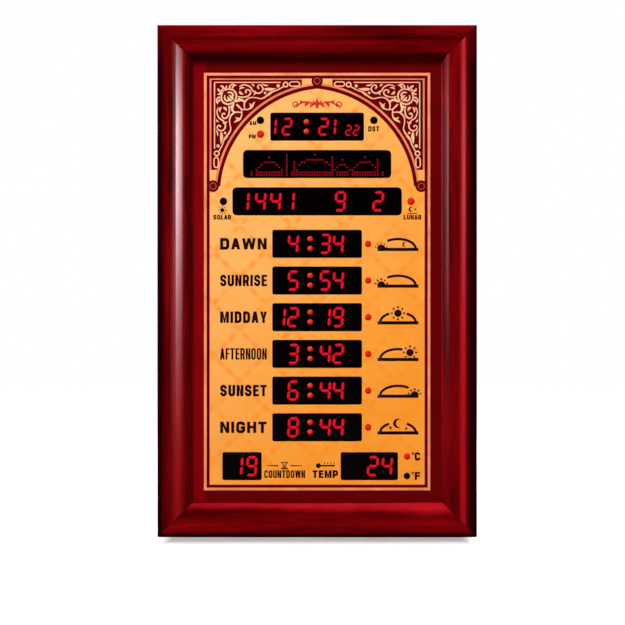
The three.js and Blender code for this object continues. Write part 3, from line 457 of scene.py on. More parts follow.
def glyph(letter, w, h, t):
    """A block capital in a box w by h with strokes t wide: shapes to lay over one another, each a list of loops."""
    bar = 0.86 * t
    mid = 0.52 * h
    x0, x1, z0, z1 = t / 2, w - t / 2, bar / 2, h - bar / 2
    s = (h - bar) / 4
    r = min((w - t) / 2, s)

    def arc(x, z, start, end, count=7, tall=r):
        turns = [math.radians(start + (end - start) * i / (count - 1)) for i in range(count)]
        return [(x + r * math.cos(turn), z + tall * math.sin(turn)) for turn in turns]

    def box(left, low, right, high):
        return [rectangle_points(left, low, right, high)]

    stem, post = box(0, 0, t, h), box(w / 2 - t / 2, 0, w / 2 + t / 2, h)
    top_bar, low_bar = box(t / 2, h - bar, w, h), box(t / 2, 0, w, bar)
    mid_bar = box(t / 2, mid - bar / 2, 0.92 * w, mid + bar / 2)
    low_left, low_right = arc(x0 + r, z0 + r, 180, 270), arc(x1 - r, z0 + r, 270, 360)
    top_right, top_left = arc(x1 - r, z1 - r, 0, 90), arc(x0 + r, z1 - r, 90, 180)
    bowl = [(x0, z1)] + top_right[::-1] + arc(x1 - r, mid - bar / 2 + r, 0, -90) + [(x0, mid - bar / 2)]
    hook = [(x1, 0.66 * h)] + top_right + top_left + low_left + low_right
    lean = (w / 2 - 0.55 * t) / h
    inner = (w / 2 - 1.45 * t) / (w / 2 - 0.55 * t)
    valley, notch = 0.27 * w - t / 2, h * (1 - inner)
    shapes = {
        "A": [[[(0, 0), (t, 0), (w / 2, (w / 2 - t) / lean), (w - t, 0), (w, 0), (w / 2 + 0.55 * t, h),
                (w / 2 - 0.55 * t, h)]],
              box(t + lean * 0.2 * h - 0.2, 0.2 * h, w - t - lean * 0.2 * h + 0.2, 0.2 * h + bar)],
        "C": [ribbon(hook + [(x1, 0.34 * h)], t)],
        "D": [ribbon([(x0, z0)] + low_right + top_right + [(x0, z1)], t, True)],
        "E": [stem, low_bar, top_bar, mid_bar],
        "F": [stem, top_bar, mid_bar],
        "G": [ribbon(hook + [(x1, 0.46 * h), (0.5 * w, 0.46 * h)], t)],
        "H": [stem, box(w - t, 0, w, h), box(t / 2, mid - bar / 2, w - t / 2, mid + bar / 2)],
        "I": [post],
        "L": [stem, low_bar],
        "M": [[[(0, 0), (t, 0), (t, 0.6 * h), (w / 2 - 0.3 * t, 0), (w / 2 + 0.3 * t, 0), (w - t, 0.6 * h),
                (w - t, 0), (w, 0), (w, h), (w - 1.1 * t, h), (w / 2, 0.38 * h), (1.1 * t, h), (0, h)]]],
        "N": [[[(0, 0), (t, 0), (t, 0.56 * h), (w - 1.05 * t, 0), (w, 0), (w, h), (w - t, h), (w - t, 0.44 * h),
                (1.05 * t, h), (0, h)]]],
        "O": [ribbon(low_left + low_right + top_right + top_left, t, True)],
        "P": [stem, ribbon(bowl, t, True)],
        "R": [stem, ribbon(bowl, t, True),
              [[(w - 1.05 * t, 0), (w, 0), (0.62 * w + 0.5 * t, mid), (0.62 * w - 0.5 * t, mid)]]],
        "S": [ribbon(arc(x1 - r, z1 - s, -12, 90, 7, s) + arc(x0 + r, z1 - s, 90, 270, 11, s)
                     + arc(x1 - r, z0 + s, 90, -90, 11, s) + arc(x0 + r, z0 + s, 270, 168, 7, s), t)],
        "T": [post, box(0, h - bar, w, h)],
        "U": [ribbon([(x0, h)] + low_left + low_right + [(x1, h)], t)],
        "W": [[[(0, h), (t, h), (t + valley * inner, notch), (w / 2 - 0.45 * t, h), (w / 2 + 0.45 * t, h),
                (w - t - valley * inner, notch), (w - t, h), (w, h), (0.73 * w + t / 2, 0), (0.73 * w - t / 2, 0),
                (w / 2, 0.62 * h), (0.27 * w + t / 2, 0), (valley, 0)]]],
        "Y": [[[(w / 2 - t / 2, 0), (w / 2 + t / 2, 0), (w / 2 + t / 2, 0.42 * h), (w, h), (w - 1.1 * t, h),
                (w / 2, 0.6 * h), (1.1 * t, h), (0, h), (w / 2 - t / 2, 0.42 * h)]]],
    }
    return shapes[letter]


def lettering(text, left, right, low, height):
    """A word of ink in bold narrow capitals, spread over a width. Millimetres, as a mesh in metres."""
    shares = {"I": 0.34, "E": 0.86, "F": 0.82, "L": 0.82, "T": 0.94, "M": 1.25, "W": 1.5}
    weights = [shares.get(letter, 1.0) for letter in text]
    pitch = (right - left) / (sum(weights) + 0.2 * (len(text) - 1))
    across = min(pitch, 0.84 * height)
    stroke = min(0.27 * height, 0.39 * across)
    gap = (right - left - across * sum(weights)) / max(1, len(text) - 1)
    layers, start = {}, left
    for letter, weight in zip(text, weights):
        width = max(across * weight, stroke)
        for order, loops in enumerate(glyph(letter, width, height, stroke)):
            layers.setdefault(order, []).extend([[(start + x, low + z) for x, z in loop] for loop in loops])
        start += width + gap
    return join_pieces([ink_plate(loops) for loops in layers.values()])


# Materials


class NodeBoard:
    """The nodes of one material or node group, added and linked in short calls."""

    def __init__(self, tree):
        self.tree = tree

    def feed(self, socket, value):
        """Sets a socket to a value, or links another node's socket to it."""
        if isinstance(value, bpy.types.NodeSocket):
            self.tree.links.new(value, socket)
        else:
            socket.default_value = value

    def add(self, kind, settings=None, **inputs):
        """Adds a node; settings are its properties, and inputs are numbers or other nodes' sockets."""
        node = self.tree.nodes.new(kind)
        for name, value in (settings or {}).items():
            setattr(node, name, value)
        for name, value in inputs.items():
            key = int(name[1:]) if name[1:].isdigit() else name.replace("_", " ")
            self.feed(node.inputs[key], value)
        return node

    def group(self, tree, **inputs):
        """Places a node group and returns its outputs."""
        return self.add("ShaderNodeGroup", {"node_tree": tree}, **inputs).outputs

    def shade(self, **values):
        """Feeds the material's shader."""
        shader = self.tree.nodes["Principled BSDF"]
        for name, value in values.items():
            self.feed(shader.inputs[name.replace("_", " ")], value)

    def math(self, operation, *values, clamp=False):
        inputs = {"i%d" % i: value for i, value in enumerate(values)}
        return self.add("ShaderNodeMath", {"operation": operation, "use_clamp": clamp}, **inputs).outputs[0]

    def times(self, *values):
        """The product of all the values."""
        product = values[0]
        for value in values[1:]:
            product = self.math("MULTIPLY", product, value)
        return product

    def object_place(self, scale=(1, 1, 1), turn=(0, 0, 0)):
        """Object coordinates through a Mapping node."""
        place = self.add("ShaderNodeTexCoord").outputs["Object"]
        return self.add("ShaderNodeMapping", Vector=place, Scale=scale, Rotation=turn).outputs[0]

    def axes(self, vector):
        return self.add("ShaderNodeSeparateXYZ", Vector=vector).outputs

    def blend(self, share, first, second):
        """Colour between two, by a share."""
        node = self.add("ShaderNodeMix", {"data_type": "RGBA"})
        for place, value in ((0, share), (6, first), (7, second)):
            self.feed(node.inputs[place], value)
        return node.outputs[2]

    def noise(self, vector, scale, detail=3.0, roughness=0.5):
        node = self.add("ShaderNodeTexNoise", Vector=vector, Scale=scale, Detail=detail, Roughness=roughness)
        return node.outputs["Fac"]

    def remap(self, value, low, high, to_low=0.0, to_high=1.0):
        return self.add("ShaderNodeMapRange", Value=value, i1=low, i2=high, i3=to_low, i4=to_high).outputs[0]

    def sheen(self, mottle, low, high):
        """Roughness that drifts between two values with the fine mottling."""
        return self.remap(mottle["Fine"], 0.3, 0.7, low, high)

    def bump(self, height, strength, distance):
        return self.add("ShaderNodeBump", Height=height, Strength=strength, Distance=distance).outputs[0]


def new_group(name, inputs, outputs):
    """A shader node group with named sockets, its board and its two end nodes."""
    tree = bpy.data.node_groups.new(name, "ShaderNodeTree")
    for label, kind, default in inputs:
        socket = tree.interface.new_socket(label, in_out="INPUT", socket_type=kind)
        if default is not None:
            socket.default_value = default
    for label in outputs:
        tree.interface.new_socket(label, in_out="OUTPUT", socket_type="NodeSocketFloat")
    board = NodeBoard(tree)
    return tree, board, tree.nodes.new("NodeGroupInput").outputs, tree.nodes.new("NodeGroupOutput").inputs


def speckle_group():
    """Fine mottling: a slow and a fast noise side by side, for colour, gloss and tiny bumps."""
    scales = [("Fine Scale", "NodeSocketFloat", 900.0), ("Broad Scale", "NodeSocketFloat", 18.0)]
    tree, board, given, result = new_group(
        "Fine mottling", [("Vector", "NodeSocketVector", None)] + scales, ("Fine", "Broad")
    )
    board.feed(result["Fine"], board.noise(given["Vector"], given["Fine Scale"], 4.0))
    broad = board.noise(given["Vector"], given["Broad Scale"])
    board.feed(result["Broad"], board.remap(broad, 0.3, 0.7))
    return tree


def grain_group():
    """Wood grain along the first axis of its vector: wavy streaks and short dark pores."""
    tree, board, given, result = new_group(
        "Wood grain", [("Vector", "NodeSocketVector", None)], ("Streaks", "Pores")
    )
    vector = given["Vector"]
    sway = board.noise(vector, 1.6, 2.0)
    stretched = board.add("ShaderNodeMapping", Vector=vector, Scale=(1.0, 17.0, 17.0)).outputs[0]
    shift = board.add("ShaderNodeCombineXYZ", X=0.0, Y=board.times(sway, 2.2), Z=0.0).outputs[0]
    swayed = board.add("ShaderNodeVectorMath", {"operation": "ADD"}, i0=stretched, i1=shift).outputs[0]
    streaks = board.noise(swayed, 3.2, 5.0, 0.62)
    short = board.add("ShaderNodeMapping", Vector=vector, Scale=(9.0, 230.0, 230.0)).outputs[0]
    pores = board.noise(short, 3.0, 2.0)
    board.feed(result["Streaks"], board.remap(streaks, 0.34, 0.68))
    board.feed(result["Pores"], board.remap(pores, 0.56, 0.7))
    return tree


def new_material(name, groups, broad, fine=900.0, turn=(0, 0, 0)):
    """A material, its board, its place on the piece and its mottling."""
    material = bpy.data.materials.new(name)
    material.use_nodes = True
    board = NodeBoard(material.node_tree)
    place = board.object_place(turn=turn)
    return material, board, place, board.group(groups["speckle"], Vector=place, Broad_Scale=broad, Fine_Scale=fine)


def edge_shade(board, position, from_side, from_edge, upright):
    """Painted shade: how far the stain is darkened towards a rail's outer round, on its front alone; further in on
    the right upright, less near the uprights' tops, and on the level rails only along the bottom edge.
    """
    on_front = board.remap(from_edge, 0.2 * MM, 1.2 * MM)
    if not upright:
        return board.times(on_front, board.remap(position[2], 2 * MM, 9 * MM, 0.95, 0.1))
    # painted shade: the right upright, turned away from the light, is shaded further in
    at_right = board.math("GREATER_THAN", position[0], 0.0)
    shaded_from = board.math("MULTIPLY_ADD", at_right, -4 * MM, from_side)
    from_top = board.math("SUBTRACT", part_bounds[1][2], position[2])
    dark = board.remap(shaded_from, 5 * MM, 16 * MM, 0.95, 0.12)
    return board.times(on_front, dark, board.remap(from_top, 0.0, 60 * MM, 0.45, 1.0))


def top_shade(board, position):
    """Painted shade: how far the stain is darkened down the top rail's inner slope, which faces down."""
    from_top = board.math("SUBTRACT", part_bounds[1][2], position[2])
    shade = board.remap(from_top, 16 * MM, 46 * MM, 0.0, 0.62)
    return board.times(shade, board.math("LESS_THAN", from_top, 300 * MM))


def painted_light(board, position, from_side, streaks, broad, upright):
    """Painted light: where the stain is lit brighter, on the right upright's inward slope and low on the left one's
    rise, and along the bottom rail's up-facing inner side with wavy grain edges.
    """
    if upright:
        rise = board.times(
            board.remap(from_side, 15 * MM, 18 * MM), board.remap(from_side, 26.5 * MM, 22 * MM),
            board.remap(position[0], 0.0, 100 * MM, 0.0, 0.33),
        )
        crest = board.times(
            board.remap(from_side, 18 * MM, 27 * MM), board.remap(from_side, 42 * MM, 32 * MM),
            board.remap(position[2], 200 * MM, 500 * MM, 0.22, 0.0), board.math("LESS_THAN", position[0], 0.0),
        )
        return board.math("MAXIMUM", rise, crest)
    drift = board.remap(broad, 0.3, 0.7, -6 * MM, 5 * MM)
    wave = board.math("ADD", board.math("MULTIPLY_ADD", streaks, 7 * MM, position[2]), drift)
    return board.times(board.remap(wave, 38 * MM, 50 * MM), board.remap(position[2], 50.5 * MM, 49.5 * MM), 0.52)


def bare_board(board, position, from_side):
    """Where no stain reaches: the rails' backs and the inside of the notch and the hangers' pockets."""
    from_end = board.math("MINIMUM", position[2], board.math("SUBTRACT", part_bounds[1][2], position[2]))
    inside = board.math("GREATER_THAN", board.math("MINIMUM", from_side, from_end), 1.5 * MM)
    behind = board.times(inside, board.math("GREATER_THAN", position[1], 5 * MM))
    return board.math("MAXIMUM", behind, board.math("GREATER_THAN", position[1], 24.6 * MM))


def lacquer(board, position, from_side, from_edge, bare):
    """Lacquer left on the uprights: most on the left one's slope at mid-height, least low down and at the right."""
    kept = board.math(
        "MAXIMUM", board.remap(position[0], 0.0, 200 * MM, 1.0, 0.0),
        board.remap(from_side, 30 * MM, 42 * MM, 0.075, 0.15),
    )
    kept = board.times(
        kept, board.remap(position[2], 100 * MM, 480 * MM, 0.06, 1.0),
        board.remap(position[2], 600 * MM, 720 * MM, 1.0, 0.45),
    )
    polish = board.times(
        board.remap(from_side, 25.5 * MM, 23.5 * MM, 2.0, 7.0), board.remap(from_side, 27 * MM, 38 * MM, 1.0, 0.13),
        board.remap(from_side, 18 * MM, 20.5 * MM),
    )
    at_left = board.math("LESS_THAN", position[0], 0.0)
    polish = board.math("MULTIPLY_ADD", board.math("SUBTRACT", polish, 1.0), at_left, 1.0)
    coat = board.remap(from_edge, 8 * MM, 20 * MM, 0.0, 0.12)
    return board.times(board.math("SUBTRACT", coat, bare, clamp=True), kept, polish)


def mahogany(name, groups, wood, upright):
    """Stained wood with the grain along a rail and bare board on its back, with painted shade on the outer rounds
    and the top rail's inner slope and painted light on the lit slopes, under gloss lacquer on the uprights.
    """
    turn = (0, math.pi / 2, 0) if upright else (0, 0, 0)
    material, board, place, mottle = new_material(name, groups, 5.0, turn=turn)
    grain = board.group(groups["grain"], Vector=place)
    position = board.axes(board.add("ShaderNodeTexCoord").outputs["Object"])
    from_side = board.math("SUBTRACT", part_bounds[1][0], board.math("ABSOLUTE", position[0]))
    from_edge = board.math("MINIMUM", from_side, position[2])
    share = board.math("MULTIPLY_ADD", mottle["Broad"], 0.35, board.times(grain["Streaks"], 0.75))
    stain = board.blend(share, wood.dark, wood.red)
    stain = board.blend(board.times(grain["Pores"], 0.55), stain, srgb(34, 0, 3))
    # painted shade on the rails' outer rounds, which face away from the light
    stain = board.blend(edge_shade(board, position, from_side, from_edge, upright), stain, srgb(26, 0, 2))
    # painted light: brighter stain where the light falls on the rails' slopes
    wear_and_painted_light = painted_light(board, position, from_side, grain["Streaks"], mottle["Broad"], upright)
    stain = board.blend(wear_and_painted_light, stain, wood.painted_light)
    if not upright:
        # painted shade down the top rail's down-facing inner slope
        stain = board.blend(top_shade(board, position), stain, srgb(40, 0, 2))
    bare = bare_board(board, position, from_side)
    board.shade(
        Base_Color=board.blend(bare, stain, board.blend(mottle["Fine"], wood.raw, srgb(120, 88, 60))),
        Roughness=board.remap(grain["Streaks"], 0, 1, 0.5, 0.4), Specular_IOR_Level=0.0,
        Normal=board.bump(grain["Pores"], 0.12, 0.1 * MM),
    )
    if upright:
        coat = lacquer(board, position, from_side, from_edge, bare)
        board.shade(Coat_Weight=coat, Coat_Roughness=wood.lacquer_roughness)
    return material


def gold_field(name, groups, ink):
    """The field's gold print: a soft lattice of small diamonds over a gradient, under a satin face."""
    material, board, place, mottle = new_material(name, groups, 26.0, 1500.0)
    axes = board.axes(place)
    period, bead = 76 * MM, 13.5 * MM
    rising = board.math("DIVIDE", board.math("ADD", axes[0], axes[2]), period)
    falling = board.math("DIVIDE", board.math("SUBTRACT", axes[0], axes[2]), period)

    def chain(along, across):
        off = board.math("ABSOLUTE", board.math("SUBTRACT", board.math("FRACT", across), 0.5))
        beads = board.math("SINE", board.times(along, math.pi * period / bead))
        return board.times(board.remap(off, 0.1, 0.03), board.remap(beads, -0.9, 0.8, 0.35, 1.0))

    lattice = board.math("MAXIMUM", chain(rising, falling), chain(falling, rising))
    lattice = board.times(lattice, board.remap(mottle["Broad"], 0, 1, 0.2, 0.8))
    slope = board.math("SUBTRACT", axes[0], board.times(axes[2], 0.8))
    base = board.blend(board.remap(slope, -0.62, -0.12), ink.field_light, ink.field_deep)
    base = board.blend(board.times(mottle["Broad"], 0.22), base, srgb(255, 190, 100))
    board.shade(
        Base_Color=board.blend(lattice, base, ink.lattice), Roughness=board.sheen(mottle, 0.3, 0.42),
        Normal=board.bump(mottle["Fine"], 0.03, 0.05 * MM), Specular_IOR_Level=PRINT_SPECULAR,
    )
    return material


def printed_ink(name, groups, first, second, roughness=0.38):
    """Screen ink whose tone drifts between two colours, with a faint grain."""
    material, board, _, mottle = new_material(name, groups, 30.0, 1300.0)
    share = board.math("MULTIPLY_ADD", mottle["Fine"], 0.5, board.times(mottle["Broad"], 0.5))
    board.shade(
        Base_Color=board.blend(board.remap(share, 0.3, 0.7), first, second),
        Roughness=board.sheen(mottle, roughness - 0.05, roughness + 0.05),
        Normal=board.bump(mottle["Fine"], 0.04, 0.04 * MM), Specular_IOR_Level=PRINT_SPECULAR,
    )
    return material


def maroon_ink(name, groups, ink):
    """Maroon print, with painted light making it lighter at the left of the panel."""
    material, board, place, mottle = new_material(name, groups, 14.0, 1300.0)
    # painted light: the maroon band left of the gold line is lighter, as if lit from the left
    side = board.remap(board.axes(place)[0], -166 * MM, -160 * MM)
    tone = board.blend(side, ink.maroon_painted_light, ink.maroon_deep)
    board.shade(
        Base_Color=board.blend(board.times(mottle["Broad"], 0.3), tone, srgb(78, 2, 8)),
        Roughness=board.sheen(mottle, 0.3, 0.4), Normal=board.bump(mottle["Fine"], 0.04, 0.04 * MM),
        Specular_IOR_Level=PRINT_SPECULAR,
    )
    return material


def moulded_plastic(name, groups, tone, wear_and_painted_light, roughness, bump, fine=1600.0, specular=0.3):
    """Moulded plastic with a fine texture and slightly polished patches."""
    material, board, _, mottle = new_material(name, groups, 22.0, fine)
    board.shade(
        Base_Color=board.blend(board.times(mottle["Broad"], 0.6), tone, wear_and_painted_light),
        Roughness=board.remap(mottle["Broad"], 0, 1, roughness, roughness - 0.12),
        Normal=board.bump(mottle["Fine"], bump, 0.12 * MM), Specular_IOR_Level=specular,
    )
    return material


def plated_steel(name, groups, tone, dull):
    """Zinc-plated steel with cloudy patches and fine brush marks."""
    material, board, _, mottle = new_material(name, groups, 120.0, 1200.0)
    brushed = board.noise(board.object_place(scale=(40, 40, 1)), 60.0)
    board.shade(
        Base_Color=board.blend(mottle["Broad"], tone, dull), Metallic=1.0,
        Roughness=board.sheen(mottle, 0.26, 0.42), Normal=board.bump(brushed, 0.08, 0.05 * MM),
    )
    return material


def lens_black(name, groups):
    """The near-black filter over the figures."""
    material, board, _, mottle = new_material(name, groups, 9.0, 2200.0)
    board.shade(
        Base_Color=board.blend(mottle["Broad"], srgb(2, 1, 1), srgb(5, 1, 2)),
        Roughness=board.sheen(mottle, 0.12, 0.2), Specular_IOR_Level=2 * PRINT_SPECULAR,
    )
    return material


def lit_bar(name, groups, core, edge):
    """A lit bar or dot: bright on its face, deeper down its sides and towards its rim."""
    material, board, _, mottle = new_material(name, groups, 160.0, 1500.0)
    facing = board.axes(board.add("ShaderNodeNewGeometry").outputs["Normal"])
    turned_out = board.remap(board.times(facing[1], -1.0), 0.35, 1.0)
    share = board.times(turned_out, board.remap(mottle["Broad"], 0, 1, 0.82, 1.0))
    board.shade(
        Base_Color=board.blend(share, srgb(24, 0, 2), srgb(34, 1, 4)),
        Emission_Color=board.blend(share, edge, core),
        Roughness=board.sheen(mottle, 0.35, 0.45), Emission_Strength=0.95, Specular_IOR_Level=PRINT_SPECULAR,
    )
    return material


def lit_lamp(name, groups, crown, foot):
    """A lit lamp: its glow is deep red at its rim and foot, with a painted highlight where its dome faces out, up
    and to the left.
    """
    material, board, _, mottle = new_material(name, groups, 300.0)
    facing = board.add("ShaderNodeNewGeometry").outputs["Normal"]
    # painted highlight: the glow is brightest where the dome faces up and to the left
    towards = board.add("ShaderNodeVectorMath", {"operation": "DOT_PRODUCT"}, i0=facing, i1=(-0.2, -0.84, 0.5))
    height = board.remap(towards.outputs["Value"], 0.45, 1.0)
    share = board.times(height, board.remap(mottle["Broad"], 0, 1, 0.85, 1.0))
    board.shade(
        Base_Color=board.blend(share, srgb(24, 1, 1), srgb(36, 3, 2)),
        Emission_Color=board.blend(share, foot, crown),
        Roughness=board.sheen(mottle, 0.42, 0.5), Emission_Strength=0.92, Specular_IOR_Level=PRINT_SPECULAR,
    )
    return material


def circuit_board(name, groups):
    """Green solder mask over raised tracks."""
    material, board, place, mottle = new_material(name, groups, 40.0)
    tracks = board.add("ShaderNodeTexBrick", {"offset": 0.37}, Vector=place, Scale=90.0, Mortar_Size=0.012)
    tone = board.blend(mottle["Broad"], srgb(22, 92, 48), srgb(30, 112, 58))
    tone = board.blend(board.times(tracks.outputs["Fac"], 0.6), tone, srgb(52, 140, 78))
    board.shade(Base_Color=tone, Roughness=0.4, Normal=board.bump(tracks.outputs["Fac"], 0.2, 0.05 * MM))
    return material


shared = {}


def materials():
    """Makes every material once and hands them out by name."""
    if shared:
        return shared
    scene = bpy.context.scene
    ink, lights, wood = scene.clock_print, scene.clock_lights, scene.clock_wood
    groups = {"speckle": speckle_group(), "grain": grain_group()}
    shared.update(
        wood_level=mahogany("Mahogany, level grain", groups, wood, False),
        wood_upright=mahogany("Mahogany, upright grain", groups, wood, True),
        field=gold_field("Gold field print", groups, ink),
        maroon=maroon_ink("Maroon ink", groups, ink),
        gold=printed_ink("Gold line ink", groups, ink.gold_line, srgb(236, 132, 80)),
        spandrel=printed_ink("Spandrel ink", groups, srgb(106, 1, 4), srgb(92, 0, 2)),
        arch_gold=printed_ink("Arch line ink", groups, srgb(244, 142, 88), srgb(222, 120, 74)),
        cream=printed_ink("Cream ornament ink", groups, ink.ornament, srgb(244, 172, 136)),
        ink=printed_ink("Black ink", groups, ink.ink, srgb(32, 12, 5), 0.45),
        crimson=printed_ink("Crimson ink", groups, ink.crimson, srgb(196, 40, 40)),
        medallion=printed_ink("Rose ink", groups, srgb(168, 72, 66), srgb(146, 52, 54)),
        lens=lens_black("Black display filter", groups),
        figure=lit_bar("Lit figure bars", groups, lights.figure, lights.figure_edge),
        dot=lit_bar("Lit message dots", groups, lights.dot, srgb(90, 4, 12)),
        # lit colons and lamps: glow, with a painted highlight where their domes face up and left
        colon=lit_lamp("Lit colon lamps", groups, srgb(255, 74, 30), srgb(160, 8, 4)),
        lamp_lit=lit_lamp("Lit lamp", groups, lights.lamp_glow_and_highlight, lights.lamp_foot),
        lamp_dark=moulded_plastic("Unlit lamp", groups, srgb(8, 2, 2), srgb(16, 4, 4), 0.4, 0.02, specular=0.0),
        cover=moulded_plastic("Black moulded cover", groups, srgb(34, 34, 35), srgb(44, 44, 45), 0.6, 0.35),
        satin=moulded_plastic("Satin black plastic", groups, srgb(26, 26, 27), srgb(40, 40, 41), 0.45, 0.1),
        white_mark=printed_ink("White mark ink", groups, srgb(226, 226, 220), srgb(200, 200, 194)),
        liner=moulded_plastic(
            "Raw softwood strip", groups, srgb(196, 158, 110), srgb(168, 126, 82), 0.75, 0.4, 300.0
        ),
        steel=plated_steel("Zinc-plated steel", groups, srgb(206, 206, 210), srgb(172, 174, 180)),
        board=circuit_board("Circuit board", groups),
        paper=moulded_plastic("Pressed paper cone", groups, srgb(48, 46, 44), srgb(62, 58, 54), 0.85, 0.6, 700.0),
        cable=moulded_plastic("Grey cable", groups, srgb(150, 150, 148), srgb(168, 168, 164), 0.5, 0.1),
    )
    return shared


# Operators, one for each piece or group of like pieces


class ClockRails(bpy.types.Operator):
    """Makes the four moulded rails with soft arrises and lacquered mahogany"""

    bl_idname = "clock.rails"
    bl_label = "Frame rails"

    def execute(self, context):
        for side, wood in (("top", "level"), ("bottom", "level"), ("left", "upright"), ("right", "upright")):
            node = "frame_rail_" + side
            rail = soft_copy(node, 0.35 * MM)
            dress(rail, "rail." + side, "wood_" + wood, replaces=(node,), smooth_degrees=34)
        return {"FINISHED"}


class ClockPanel(bpy.types.Operator):
    """Gives the printed panel its gold field, and the strips behind it their raw wood"""

    bl_idname = "clock.panel"
    bl_label = "Printed panel"

    def execute(self, context):
        dress_node("front_panel", "field")
        for node in ("liner_left", "liner_right"):
            dress_node(node, "liner")
        return {"FINISHED"}


def arch_points(outset, count=40):
    """Points in millimetres on the left half of the arch, from its spring to its apex, moved outwards."""
    ink = bpy.context.scene.clock_print
    radius = ink.arch_radius / MM + outset
    across = ink.arch_overlap / MM
    centre = ink.arch_centre / MM
    first = math.asin((ink.arch_spring / MM - centre) / radius)
    last = math.acos(across / radius)
    angles = [first + (last - first) * i / (count - 1) for i in range(count)]
    return [(across - radius * math.cos(angle), centre + radius * math.sin(angle)) for angle in angles]


def arch_stripe(inner, outer):
    """Outline of a stripe over the whole arch, between two outsets."""
    halves = [arch_points(outset) for outset in (inner, outer)]
    near, far = [half + [(-x, z) for x, z in reversed(half[:-1])] for half in halves]
    return near + far[::-1]


class ClockBorder(bpy.types.Operator):
    """Prints the maroon border and the gold line round the field"""

    bl_idname = "clock.border"
    bl_label = "Printed border"

    sheet_margin = 0.5

    def execute(self, context):
        ink = context.scene.clock_print
        half, foot, head = ink.field_half_width / MM, ink.field_low / MM, ink.field_high / MM
        low, high, _ = box_mm("front_panel")
        margin = self.sheet_margin
        sheet = rectangle_points(low.x + margin, low.z + margin, high.x - margin, high.z - margin)
        print_shape("print.border", "maroon", [sheet, rectangle_points(-half, foot, half, head)])
        inner = ink.line_gap / MM
        outer = inner + ink.line_width / MM
        rings = [rectangle_points(-half - d, foot - d, half + d, head + d) for d in (outer, inner)]
        print_shape("print.border_line", "gold", rings, layers=2)
        return {"FINISHED"}


class ClockArch(bpy.types.Operator):
    """Prints the pointed arch, its spandrels and its three medallions"""

    bl_idname = "clock.arch"
    bl_label = "Arch and spandrels"

    side_gap = 2.5
    top_gap = 1.8
    spandrel_foot = 538.1
    spandrel_inner = 22.3
    foot_overlap = 0.6
    crown_overlap = 0.9
    medallions = (("top", 0, 668.3, 8.4), ("left", -152.7, 514.2, 8.7), ("right", 152.7, 514.2, 8.7))
    ring_share = 0.62
    ring_width = 1.6

    def execute(self, context):
        ink = context.scene.clock_print
        band = ink.arch_band / MM
        line = band + ink.arch_line / MM
        print_shape("print.arch_band", "spandrel", [arch_stripe(0, band)])
        print_shape("print.arch_line", "arch_gold", [arch_stripe(band, line)])
        half, head = ink.field_half_width / MM, ink.field_high / MM
        left, top, foot, inner = -half + self.side_gap, head - self.top_gap, self.spandrel_foot, -self.spandrel_inner
        curve = [(x, z) for x, z in arch_points(line) if z > foot and x < inner]
        corners = [(inner, curve[-1][1] + self.crown_overlap), (inner, top), (left, top), (left, foot)]
        spandrel = ink_plate([curve + corners + [(curve[0][0] - self.foot_overlap, foot)]])
        strip = [(-half, foot), (left, foot), (left, top), (inner, top), (inner, head), (-half, head)]
        dress_pair(ink_plate([strip]), "print.edging", "arch_gold")
        dress_pair(spandrel, "print.spandrel", "spandrel")
        for name, x, z, radius in self.medallions:
            print_shape("print.medallion_" + name, "maroon", [circle_points(x, z, radius, 40)], layers=2)
            outer = radius * self.ring_share
            ring = [circle_points(x, z, edge) for edge in (outer, outer - self.ring_width)]
            print_shape("print.medallion_ring_" + name, "medallion", ring, layers=3)
        return {"FINISHED"}


def spiral(centre, start_radius, end_radius, start, turns, count=14):
    """Points of a scroll that winds in towards its centre; angles in turns."""
    points = []
    for i in range(count):
        share = i / (count - 1)
        angle = math.tau * (start + turns * share)
        radius = start_radius + (end_radius - start_radius) * share ** 0.8
        points.append((centre[0] + radius * math.cos(angle), centre[1] + radius * math.sin(angle)))
    return points


def tapered(points, widths):
    """A stroke whose widths are spread evenly over its points."""
    spread = []
    for i in range(len(points)):
        position = i / (len(points) - 1) * (len(widths) - 1)
        low = min(int(position), len(widths) - 2)
        spread.append(widths[low] + (widths[low + 1] - widths[low]) * (position - low))
    return points, spread, False


def even(points, width, closed=False):
    """A stroke of one width."""
    return points, [width] * len(points), closed


def leaf(start, tip, swell, bend=0.0):
    """A pointed leaf from its stalk to its tip, bent sideways."""
    (x0, y0), (x1, y1) = start, tip
    points = []
    for share in (0, 0.25, 0.5, 0.75, 1):
        push = bend * math.sin(math.pi * share)
        points.append((x0 + (x1 - x0) * share - (y1 - y0) * push, y0 + (y1 - y0) * share + (x1 - x0) * push))
    return points, [0.5, swell * 0.85, swell, swell * 0.6, 0.15], False


